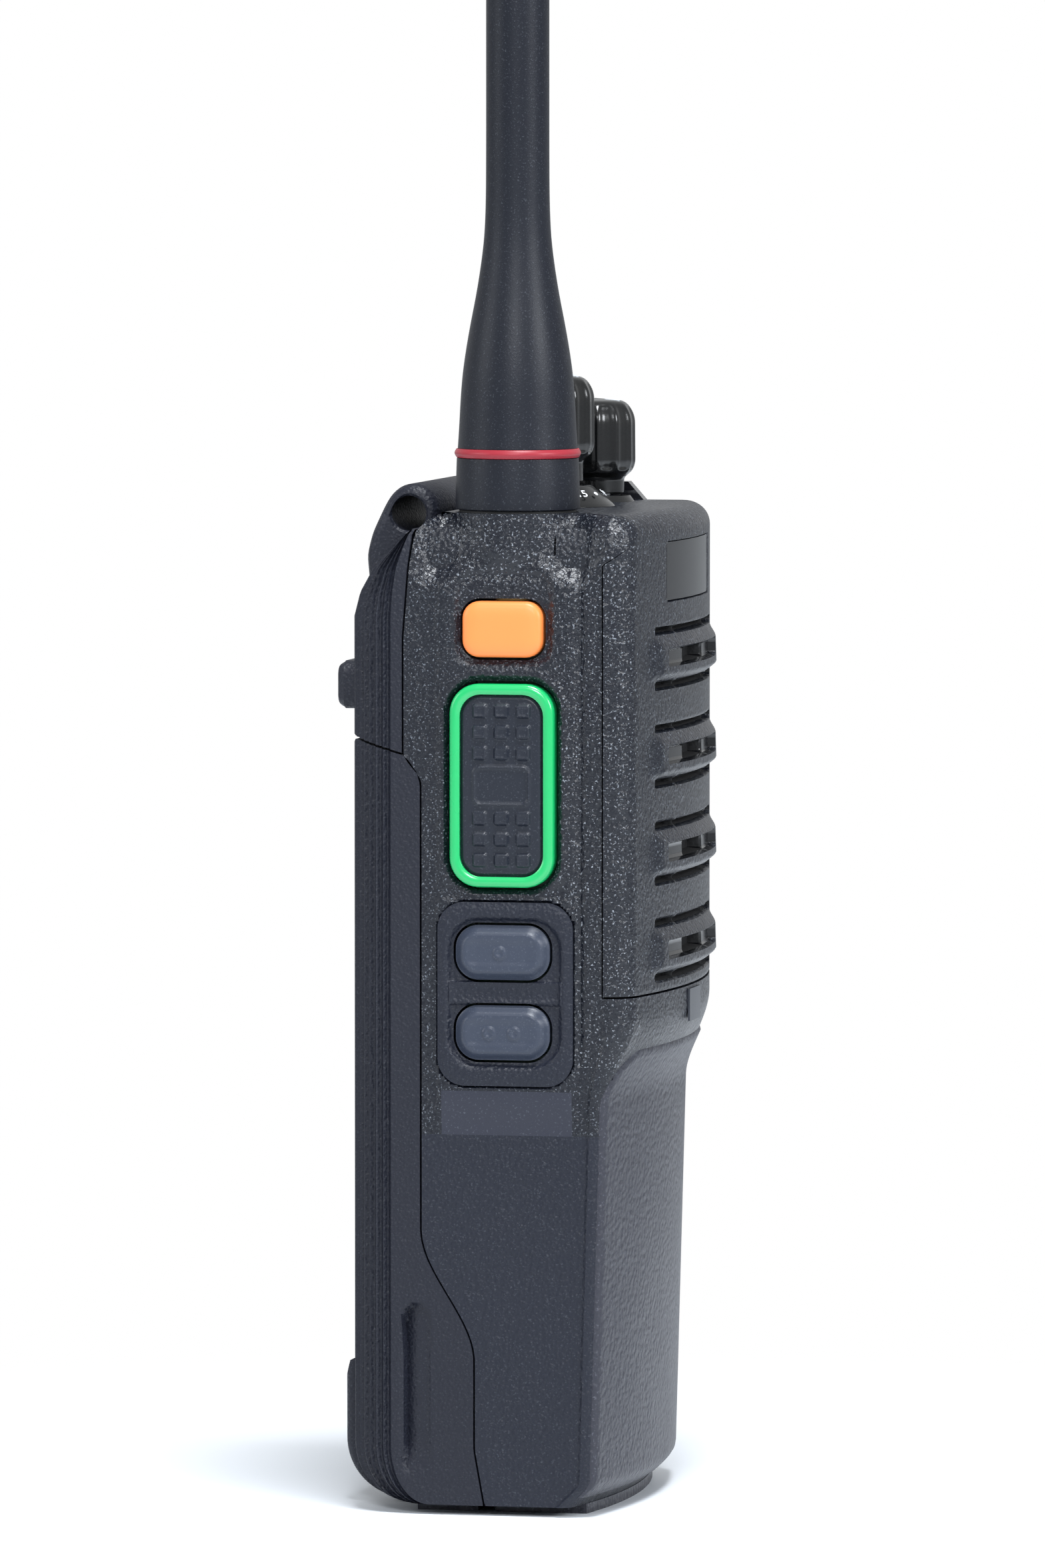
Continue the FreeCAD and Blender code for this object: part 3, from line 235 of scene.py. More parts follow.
# A smoother band below the keys: its lighter colour is a painted reflection of the pale floor
SATIN_BAND_PAINTED_REFLECTION = MouldedFinish("satin_band_painted_floor_reflection", "282a34", 0.38, fine_mm=0.3,
                            fine_depth_mm=0.03, painted_sparkle=0.08, shine=0.28)
# Over-moulded soft elastomer with a leather grain that looks woven from a distance
# Its grey is lightened by a painted reflection of the pale floor, with painted sparkle
LEATHER_GRIP = MouldedFinish("leather_grained_elastomer_grip", "2c2d35", 0.42, grain_mm=0.7,
                             depth_mm=0.2, fine_mm=0.3, fine_depth_mm=0.04, painted_sparkle=0.3,
                             shine=0.3, sparkle_paint_hex="7c7f8a")
# Polished part of the mould: a smooth black plastic that mirrors at a flat angle
POLISHED = MouldedFinish("polished_polycarbonate", "101114", 0.16, wander=0.03)
# Silicone rubber keys, bead blasted mould: dull, blue grey
KEY_RUBBER = MouldedFinish("bead_blasted_silicone_key", "2f3542", 0.36, fine_mm=0.22,
                           fine_depth_mm=0.012, painted_sparkle=0.08, shine=0.35)
TALK_RUBBER = MouldedFinish("bead_blasted_silicone_talk_pad", "181c25", 0.36, fine_mm=0.24,
                            fine_depth_mm=0.015, painted_sparkle=0.08, shine=0.3)
# Dyed polycarbonate: saturated, with a painted glow, a weak emission of its own colour
GREEN_RING = MouldedFinish("dyed_green_polycarbonate", "14a35a", 0.25, coat=0.3, wander=0.02,
                           painted_glow=0.05)
# Dyed orange silicone, with a weak painted glow of its own colour
ORANGE_CAP = MouldedFinish("dyed_orange_silicone", "e8803f", 0.42, fine_mm=0.15,
                           fine_depth_mm=0.006, wander=0.03, painted_glow=0.03)
# Thermoplastic urethane sleeve over the whip: satin, almost black with a blue cast
WHIP_SLEEVE = MouldedFinish("moulded_urethane_whip_sleeve", "10131b", 0.42, fine_mm=0.24,
                            fine_depth_mm=0.02, painted_sparkle=0.07, shine=0.24)
RED_RING = MouldedFinish("dyed_red_polycarbonate", "8c2630", 0.35, wander=0.03, shine=0.3)
# Moulded acetal knobs: near black and glossy
KNOB = MouldedFinish("moulded_acetal_knob", "08090a", 0.2, fine_mm=0.3, fine_depth_mm=0.006,
                     coat=0.2, shine=0.45)
SEAL = MouldedFinish("moulded_nitrile_seal", "18191b", 0.6)
GRILLE_CLOTH = MouldedFinish("woven_polyester_grille_cloth", "0d0e10", 0.85, grain_mm=0.4,
                             depth_mm=0.1)
PAINT = MouldedFinish("pad_printed_white_ink", "e9ecef", 0.4, wander=0.02)
LENS = MouldedFinish("smoked_polycarbonate_lens", "15161a", 0.08, coat=0.5)
PALE_LENS = MouldedFinish("frosted_polycarbonate_window", "2e3138", 0.3)
BRASS = MouldedFinish("turned_brass", "b8975a", 0.28, metallic=1.0, fine_mm=0.3,
                      fine_depth_mm=0.004)
STEEL = MouldedFinish("rolled_steel", "a6a9ae", 0.3, metallic=1.0, fine_mm=0.3,
                      fine_depth_mm=0.004)
GOLD = MouldedFinish("gold_plated_contact", "dcb45c", 0.2, metallic=1.0)
DIE_CAST = MouldedFinish("die_cast_aluminium_chassis", "9a9ca0", 0.45, metallic=1.0,
                         grain_mm=0.7, depth_mm=0.03)
BOARD = MouldedFinish("solder_masked_glass_epoxy_board", "1d4a33", 0.35, fine_mm=0.5,
                      fine_depth_mm=0.01)
CELL_SLEEVE = MouldedFinish("heat_shrunk_cell_sleeve", "2f5a9c", 0.25, coat=0.3)
DARK_PLASTIC = MouldedFinish("moulded_black_nylon", "1b1c1f", 0.5, fine_mm=0.3,
                             fine_depth_mm=0.01)

NODE_FINISHES: dict[str, MouldedFinish] = {
    "base_pad": LEATHER_GRIP, "battery_foot": LEATHER_GRIP, "blank_nameplate": POLISHED,
    "indicator_window": PALE_LENS, "clip_inserts": BRASS, "chassis": DIE_CAST,
    "housing_gasket": SEAL, "housing_screws": STEEL, "main_board": BOARD,
    "battery_board": BOARD, "side_board": BOARD, "rf_shields": STEEL, "radio_contacts": GOLD,
    "battery_contacts": GOLD, "charging_contacts": GOLD, "port_contacts": GOLD,
    "speaker_mesh": GRILLE_CLOTH, "speaker_frame": STEEL, "speaker_cone": DARK_PLASTIC,
    "speaker_magnet": STEEL, "microphone": STEEL, "microphone_boot": SEAL, "side_seal": SEAL,
    "side_switches": DARK_PLASTIC, "antenna_socket": BRASS, "socket_nut": BRASS,
    "channel_encoder": STEEL, "volume_control": STEEL, "volume_dial": KNOB,
    "status_lens": LENS, "accessory_port": DARK_PLASTIC, "cover_pin": STEEL,
    "dust_cover": ETCHED, "antenna_seal": SEAL, "antenna_plug": BRASS,
    "antenna_core": STEEL, "channel_shaft": STEEL, "volume_shaft": STEEL,
    "battery_lid": BATTERY_SHELL, "battery_cells": CELL_SLEEVE, "battery_latch": BATTERY_SHELL,
    "latch_spring": STEEL, "key_frame": ETCHED,
}


# Mesh helpers


def ramp(value: np.ndarray | float, start: float, end: float) -> np.ndarray:
    """Rise smoothly from 0 at start to 1 at end.

    Args:
        value: Where to read the ramp.
        start: Where it is 0.
        end: Where it is 1.

    Returns:
        The height of the ramp.
    """
    share = np.clip((np.asarray(value, float) - start) / (end - start), 0.0, 1.0)
    return share * share * (3 - 2 * share)


def spread(start: float, end: float, step: float) -> np.ndarray:
    """Evenly spaced values from start to end, about one step apart."""
    return np.linspace(start, end, max(int(round(abs(end - start) / step)), 1) + 1)


@dataclass(frozen=True)
class Outline:
    """A rectangle with round corners on a side or a front of the radio.

    Attributes:
        across: Centre along Y on a side, or along X on the front.
        height: Centre along Z.
        width: Full width.
        tall: Full height.
        corner: Corner radius.
    """

    across: float
    height: float
    width: float
    tall: float
    corner: float

    def grown(self, margin: float) -> "Outline":
        """The outline moved outwards by a margin."""
        return Outline(self.across, self.height, self.width + 2 * margin,
                       self.tall + 2 * margin, max(self.corner + margin, 0.05))

    def distance(self, across: np.ndarray, height: np.ndarray) -> np.ndarray:
        """Signed distance to the outline, negative inside.

        Args:
            across: Positions across.
            height: Positions in height.

        Returns:
            The distances in millimetres.
        """
        over_x = np.abs(across - self.across) - (self.width / 2 - self.corner)
        over_z = np.abs(height - self.height) - (self.tall / 2 - self.corner)
        outside = np.hypot(np.maximum(over_x, 0), np.maximum(over_z, 0))
        return outside + np.minimum(np.maximum(over_x, over_z), 0) - self.corner

    def loop(self, inset: float, steps: int) -> np.ndarray:
        """Points around the outline, moved inwards by inset.

        Args:
            inset: How far inwards.
            steps: Points on each corner.

        Returns:
            An array of (across, height) points, anticlockwise.
        """
        corner = max(self.corner - inset, 0.05)
        half_width = self.width / 2 - inset - corner
        half_tall = self.tall / 2 - inset - corner
        points = []
        for quarter, (side, up) in enumerate(((1, -1), (1, 1), (-1, 1), (-1, -1))):
            for step in range(steps):
                angle = math.radians(90 * (quarter - 1 + step / (steps - 1)))
                points.append((self.across + side * half_width + corner * math.cos(angle),
                               self.height + up * half_tall + corner * math.sin(angle)))
        return np.array(points)


def finish_mesh(name: str, points: Sequence, faces: Sequence, finishes: Sequence[MouldedFinish],
                body: Body, replaced: Sequence[str] = (),
                face_finish: Sequence[int] | None = None, sharp: float = 40.0) -> bpy.types.Object:
    """Make a piece from points in millimetres and put it on its body.

    Args:
        name: Name of the piece.
        points: Points in millimetres.
        faces: Lists of point indices.
        finishes: Finishes of the piece.
        body: The body that it moves with.
        replaced: CAD nodes that it stands for.
        face_finish: Index of the finish of each face.
        sharp: Angle in degrees past which an edge stays sharp.

    Returns:
        The new object.
    """
    mesh = bpy.data.meshes.new(name)
    mesh.from_pydata([tuple(float(v) * MM for v in point) for point in points], [],
                     [tuple(int(v) for v in face) for face in faces])
    for finish in finishes:
        mesh.materials.append(finish.make())
    if face_finish is not None:
        mesh.polygons.foreach_set("material_index", [int(index) for index in face_finish])
    mesh.validate()
    work = bmesh.new()
    work.from_mesh(mesh)
    bmesh.ops.remove_doubles(work, verts=work.verts, dist=0.002 * MM)
    bmesh.ops.dissolve_degenerate(work, edges=work.edges, dist=0.0005 * MM)
    bmesh.ops.recalc_face_normals(work, faces=work.faces)
    work.to_mesh(mesh)
    work.free()
    mesh.shade_smooth()
    mesh.set_sharp_from_angle(angle=math.radians(sharp))
    piece = bpy.data.objects.new(name, mesh)
    bpy.context.scene.collection.objects.link(piece)
    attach(piece, body.value)
    if replaced:
        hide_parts(*replaced)
    log.info("%s: %d faces on %s", name, len(mesh.polygons), body.value)
    return piece


def skin(outer: np.ndarray, inner: np.ndarray, keep: np.ndarray) -> tuple[np.ndarray, list]:
    """Join an outer and an inner sheet of one grid into a closed wall.

    Args:
        outer: Outer points, rows by columns by 3.
        inner: Inner points of the same grid.
        keep: Which cells exist, one fewer each way.

    Returns:
        The points and the faces. Outer faces come first, in the order of the kept cells.
    """
    rows, columns = outer.shape[:2]
    index = np.arange(rows * columns).reshape(rows, columns)
    shift = rows * columns
    faces: list[tuple] = []
    backs: list[tuple] = []
    walls: list[tuple] = []
    for row, column in np.argwhere(keep):
        a, b = index[row, column], index[row, column + 1]
        c, d = index[row + 1, column + 1], index[row + 1, column]
        faces.append((a, b, c, d))
        backs.append((d + shift, c + shift, b + shift, a + shift))
        if row == 0 or not keep[row - 1, column]:
            walls.append((b, a, a + shift, b + shift))
        if row == rows - 2 or not keep[row + 1, column]:
            walls.append((d, c, c + shift, d + shift))
        if column == 0 or not keep[row, column - 1]:
            walls.append((a, d, d + shift, a + shift))
        if column == columns - 2 or not keep[row, column + 1]:
            walls.append((c, b, b + shift, c + shift))
    points = np.concatenate([outer.reshape(-1, 3), inner.reshape(-1, 3)])
    return points, faces + backs + walls


def cut_window(outline: Outline, across: np.ndarray, height: np.ndarray,
               keep: np.ndarray) -> tuple[np.ndarray, np.ndarray]:
    """Open a window in a grid and draw its edge points on to the window's outline.

    Args:
        outline: The window.
        across: Positions across of the grid points, changed where the edge moves.
        height: Heights of the grid points, changed where the edge moves.
        keep: Which cells exist, changed in place.

    Returns:
        The changed positions across and heights.
    """
    middle_across = (across[:-1, :-1] + across[1:, 1:]) / 2
    middle_height = (height[:-1, :-1] + height[1:, 1:]) / 2
    gone = outline.distance(middle_across, middle_height) < 0
    keep &= ~gone
    touched = np.zeros(across.shape, bool)
    beside = np.zeros(across.shape, bool)
    for down in (0, 1):
        for along in (0, 1):
            rows = slice(down, across.shape[0] - 1 + down)
            columns = slice(along, across.shape[1] - 1 + along)
            touched[rows, columns] |= gone
            beside[rows, columns] |= ~gone
    edge = touched & beside
    step = 0.01
    away = outline.distance(across, height)
    slope_across = (outline.distance(across + step, height) - away) / step
    slope_height = (outline.distance(across, height + step) - away) / step
    across = np.where(edge, across - away * slope_across, across)
    height = np.where(edge, height - away * slope_height, height)
    return across, height


def grid(outline: Outline, step: float) -> tuple[np.ndarray, np.ndarray, np.ndarray]:
    """A fine grid over an outline's rectangle.

    Args:
        outline: What the grid has to cover.
        step: About how far apart its points are.

    Returns:
        Positions across, heights and which cells exist, at first all.
    """
    across = spread(outline.across - outline.width / 2, outline.across + outline.width / 2, step)
    heights = spread(outline.height - outline.tall / 2, outline.height + outline.tall / 2, step)
    keep = np.ones((len(heights) - 1, len(across) - 1), bool)
    return *np.meshgrid(across, heights), keep


def loft_faces(loops: int, count: int, closed: bool = False) -> list[tuple[int, ...]]:
    """Faces between equal loops of points that follow each other in a list.

    Args:
        loops: How many loops there are.
        count: Points in each loop.
        closed: Whether the last loop joins the first.

    Returns:
        The faces.
    """
    faces = []
    for level in range(loops if closed else loops - 1):
        low, high = level * count, (level + 1) % loops * count
        for step in range(count):
            after = (step + 1) % count
            faces.append((low + step, low + after, high + after, high + step))
    return faces


def joined(*parts: tuple[list, list]) -> tuple[list, list]:
    """Put the points and faces of several parts in one list each."""
    points: list = []
    faces: list = []
    for part_points, part_faces in parts:
        faces += [[index + len(points) for index in face] for face in part_faces]
        points += part_points
    return points, faces


def drawn_in(outline: Outline, across: np.ndarray,
             height: np.ndarray) -> tuple[np.ndarray, np.ndarray]:
    """Move grid points that lie outside an outline on to it.

    Args:
        outline: The outline that the grid has to end at.
        across: Positions across of the grid points.
        height: Heights of the grid points.

    Returns:
        The changed positions across and heights.
    """
    step = 0.01
    away = outline.distance(across, height)
    sink = np.maximum(away + 0.02, 0)
    slope_across = (outline.distance(across + step, height) - away) / step
    across = across - sink * slope_across
    slope_height = (outline.distance(across, height + step)
                    - outline.distance(across, height)) / step
    return across, height - sink * slope_height


def stud_ring(name: str, values: dict[str, float], finish: MouldedFinish) -> bpy.types.Mesh:
    """Set equal round studs on a cone with a node group, and keep the result as a mesh.

    Args:
        name: Name of the resulting mesh.
        values: The group's inputs by name: Count, Ring Radius, Stud Radius, Stud Height,
            Slope and Seed. The seed turns each stud about its own axis.
        finish: What the studs are made of.

    Returns:
        The mesh, in metres round the origin, with its first stud on +X.
    """
    tree = bpy.data.node_groups.new(f"{name}_group", "GeometryNodeTree")
    whole = ("Count", "Seed")
    sockets = {key: tree.interface.new_socket(
        name=key, in_out="INPUT",
        socket_type="NodeSocketInt" if key in whole else "NodeSocketFloat") for key in values}
    tree.interface.new_socket(name="Geometry", in_out="OUTPUT",
                              socket_type="NodeSocketGeometry")
    given = add_node(tree, "NodeGroupInput").outputs
    ring = add_node(tree, "GeometryNodeMeshCircle", {},
                    {"Vertices": given["Count"], "Radius": given["Ring Radius"]})
    stud = add_node(tree, "GeometryNodeMeshCylinder", {"Vertices": 24},
                    {"Radius": given["Stud Radius"], "Depth": given["Stud Height"]})
    index = add_node(tree, "GeometryNodeInputIndex").outputs[0]
    share = add_node(tree, "ShaderNodeMath", {}, {0: index, 1: given["Count"]},
                     operation="DIVIDE")
    around = add_node(tree, "ShaderNodeMath", {1: 2 * math.pi}, {0: share.outputs[0]},
                      operation="MULTIPLY")
    lean = add_node(tree, "ShaderNodeCombineXYZ", {},
                    {"Y": given["Slope"], "Z": around.outputs[0]})
    put = add_node(tree, "GeometryNodeInstanceOnPoints", {},
                   {"Points": ring.outputs["Mesh"], "Instance": stud.outputs["Mesh"],
                    "Rotation": lean.outputs["Vector"]})
    spin = add_node(tree, "FunctionNodeRandomValue", {}, {"Seed": given["Seed"]})
    twist = add_node(tree, "ShaderNodeCombineXYZ", {}, {"Z": spin.outputs[1]})
    turned = add_node(tree, "GeometryNodeRotateInstances", {},
                      {"Instances": put.outputs["Instances"],
                       "Rotation": twist.outputs["Vector"]})
    real = add_node(tree, "GeometryNodeRealizeInstances", {},
                    {"Geometry": turned.outputs["Instances"]})
    paint = add_node(tree, "GeometryNodeSetMaterial", {}, {"Geometry": real.outputs[0]})
    paint.inputs["Material"].default_value = finish.make()
    tree.links.new(paint.outputs[0], add_node(tree, "NodeGroupOutput").inputs[0])
    holder = bpy.data.objects.new(f"{name}_holder", bpy.data.meshes.new(f"{name}_empty"))
    bpy.context.scene.collection.objects.link(holder)
    modifier = holder.modifiers.new(f"{name}_repeat", "NODES")
    modifier.node_group = tree
    for key, value in values.items():
        modifier[sockets[key].identifier] = value
    bpy.context.view_layer.update()
    graph = bpy.context.evaluated_depsgraph_get()
    mesh = bpy.data.meshes.new_from_object(holder.evaluated_get(graph))
    holder.modifiers.remove(modifier)
    bpy.data.objects.remove(holder)
    return mesh


def lathe(profile: Sequence[tuple[float, float]], centre: tuple[float, float], steps: int,
          ripple: Callable[[float, float], float] | None = None) -> tuple[list, list]:
    """Turn a profile of (radius, height) points about an upright axis.

    Args:
        profile: Points from the bottom to the top. A radius of 0 closes an end.
        centre: The axis, as (x, y).
        steps: Points around.
        ripple: Factor on the radius for an angle and a height.

    Returns:
        The points and the faces.
    """
    points: list[tuple] = []
    rings: list[list[int]] = []
    for radius, height in profile:
        if radius <= 1e-6:
            points.append((centre[0], centre[1], height))
            rings.append([len(points) - 1] * steps)
            continue
        ring = []
        for step in range(steps):
            angle = 2 * math.pi * step / steps
            length = radius * (ripple(angle, height) if ripple else 1.0)
            points.append((centre[0] + length * math.cos(angle),
                           centre[1] + length * math.sin(angle), height))
            ring.append(len(points) - 1)
        rings.append(ring)
    faces = []
    for low, high in zip(rings, rings[1:]):
        for step in range(steps):
            after = (step + 1) % steps
            corners = [low[step], low[after], high[after], high[step]]
            faces.append(list(dict.fromkeys(corners)))
    return points, [face for face in faces if len(face) > 2]


def rounded_profile(points: Sequence[tuple[float, float, float]],
                    steps: int = 5) -> list[tuple[float, float]]:
    """Round the corners of an open profile.

    Args:
        points: (radius, height, rounding) of each corner.
        steps: Points on each rounding.

    Returns:
        The profile with arcs at its corners.
    """
    result: list[tuple[float, float]] = []
    for index, (x, y, rounding) in enumerate(points):
        if rounding <= 0 or index in (0, len(points) - 1):
            result.append((x, y))
            continue
        here = np.array((x, y))
        before = np.array(points[index - 1][:2]) - here
        after = np.array(points[index + 1][:2]) - here
        reach = min(rounding, np.linalg.norm(before) * 0.49, np.linalg.norm(after) * 0.49)
        start = here + before / np.linalg.norm(before) * reach
        end = here + after / np.linalg.norm(after) * reach
        for step in range(steps + 1):
            share = step / steps
            spot = (1 - share) ** 2 * start + 2 * share * (1 - share) * here + share ** 2 * end
            result.append((float(spot[0]), float(spot[1])))
    return result


def cap_piece(outline: Outline, levels: Sequence[tuple[float, float]], side: float = -1.0,
              steps: int = 8) -> tuple[list, list]:
    """Loft a side button from rings of its outline, closed at both ends.

    Args:
        outline: The button's outline, seen from the side.
        levels: (inset, x) of each ring, from the inside of the radio outwards.
        side: -1 for the talk button side, 1 for the other.
        steps: Points on each corner.

    Returns:
        The points and the faces.
    """
    points = [(side * x, y, z) for inset, x in levels for y, z in outline.loop(inset, steps)]
    count = len(points) // len(levels)
    faces = loft_faces(len(levels), count)
    faces.append(tuple(reversed(range(count))))
    faces.append(tuple(range(len(points) - count, len(points))))
    return points, faces


# The radio's shape


@dataclass
class Casing:
    """Sizes of the casing that several pieces share, and the curves that they follow."""

    half: float = 27.0
    back: float = 21.0
    base: float = 1.3
    top: float = 129.4
    wall: float = 1.8
    front_radius: float = 112.0
    front_corner: float = 3.9
    grip_corner: float = 2.2
    panel_side: float = -12.75
    panel_low: float = 67.2
    side_round_height: float = 6.5
    front_round_height: float = 3.0
    round_depth: float = 3.4
    flank: float = 0.35
    rear_corner: float = 6.0

    def apex(self, height: float) -> float:
        """The furthest forward point of the front at a height.

        Args:
            height: Height above the floor.

        Returns:
            Its Y.
        """
        foot, hip, face = -14.55, -15.95, -19.5
        lower = foot + (hip - foot) * (height - self.base) / 52.0
        chin = float(ramp(height, 53.5, 65.0))
        value = lower * (1 - chin) + face * chin
        toe = float(ramp(4.8 - height, 0.0, 4.2))
        return value + 3.0 * toe

    def corner(self, height: float) -> float:
        """Radius of the front corners at a height."""
        share = float(ramp(height, 54.0, 64.0))
        return self.grip_corner + (self.front_corner - self.grip_corner) * share

    def battery_seam(self, height: float) -> float:
        """The seam between the housing and what is behind it.

        Args:
            height: Height above the floor.

        Returns:
            Its Y.
        """
        if height < 8.5:
            return 3.91 - 1.3 * (8.5 - height) / 7.2
        if height < 37.0:
            return 3.91 + 7.02 * float(ramp(height, 20.0, 37.0))
        if height < 98.6:
            return 10.93 + 2.37 * float(ramp(height, 94.5, 98.6))
        above = np.interp(height, (98.6, 113.4, 122.4, 126.9, 128.5, 129.5),
                          (13.3, 13.3, 12.6, 12.0, 10.7, 8.9))
        return float(above)

    def side_reach(self, height: float) -> float:
        """How far the rounded shoulder has drawn the side in at a height.

        Args:
            height: Height above the floor.

        Returns:
            The distance inwards.
        """
        start = self.top - self.side_round_height
        share = min(max((height - start) / self.side_round_height, 0.0), 1.0)
        return self.round_depth * (1 - math.sqrt(max(1 - share * share, 0.0)))

    def front_path(self, apex: float, corner: float, inset: float,
                   side_start: float) -> "FrontPath":
        """The plan of the front, from one side to the other."""
        return FrontPath(self.half - inset, apex + inset, self.front_radius - inset,
                         max(corner - inset, 0.3), side_start)


@dataclass
class FrontPath:
    """The plan of the front at one height: side, corner, bowed front, corner, side."""

    half: float
    apex: float
    radius: float
    corner: float
    side_start: float
    centre_x: float = field(init=False)
    drop: float = field(init=False)
    corner_y: float = field(init=False)
    meet_angle: float = field(init=False)

    def __post_init__(self) -> None:
        """Work out where the arcs meet."""
        self.centre_x = self.half - self.corner
        self.drop = math.sqrt((self.radius - self.corner) ** 2 - self.centre_x ** 2)
        self.corner_y = self.apex + self.radius - self.drop
        self.meet_angle = math.asin(self.centre_x / (self.radius - self.corner))

    def corner_point(self, share: float) -> tuple[float, float, float, float]:
        """A point of the left corner, with its outward direction.

        Args:
            share: 0 where the side ends and 1 where the front begins.

        Returns:
            X, Y and the outward direction.
        """
        sweep = math.pi / 2 - self.meet_angle
        lead = max(self.side_start - self.corner_y, 0.0)
        length = lead + self.corner * sweep
        run = share * length
        if run <= lead:
            return -self.half, self.side_start - run, -1.0, 0.0
        angle = (run - lead) / self.corner
        out_x, out_y = -math.cos(angle), -math.sin(angle)
        return (-self.centre_x + self.corner * out_x, self.corner_y + self.corner * out_y,
                out_x, out_y)

    def front_point(self, share: float) -> tuple[float, float, float, float]:
        """A point of the bowed front, with its outward direction.

        Args:
            share: -1 at the left end and 1 at the right end.

        Returns:
            X, Y and the outward direction.
        """
        angle = share * self.meet_angle
        out_x, out_y = math.sin(angle), -math.cos(angle)
        return self.radius * out_x, self.apex + self.radius + self.radius * out_y, out_x, out_y


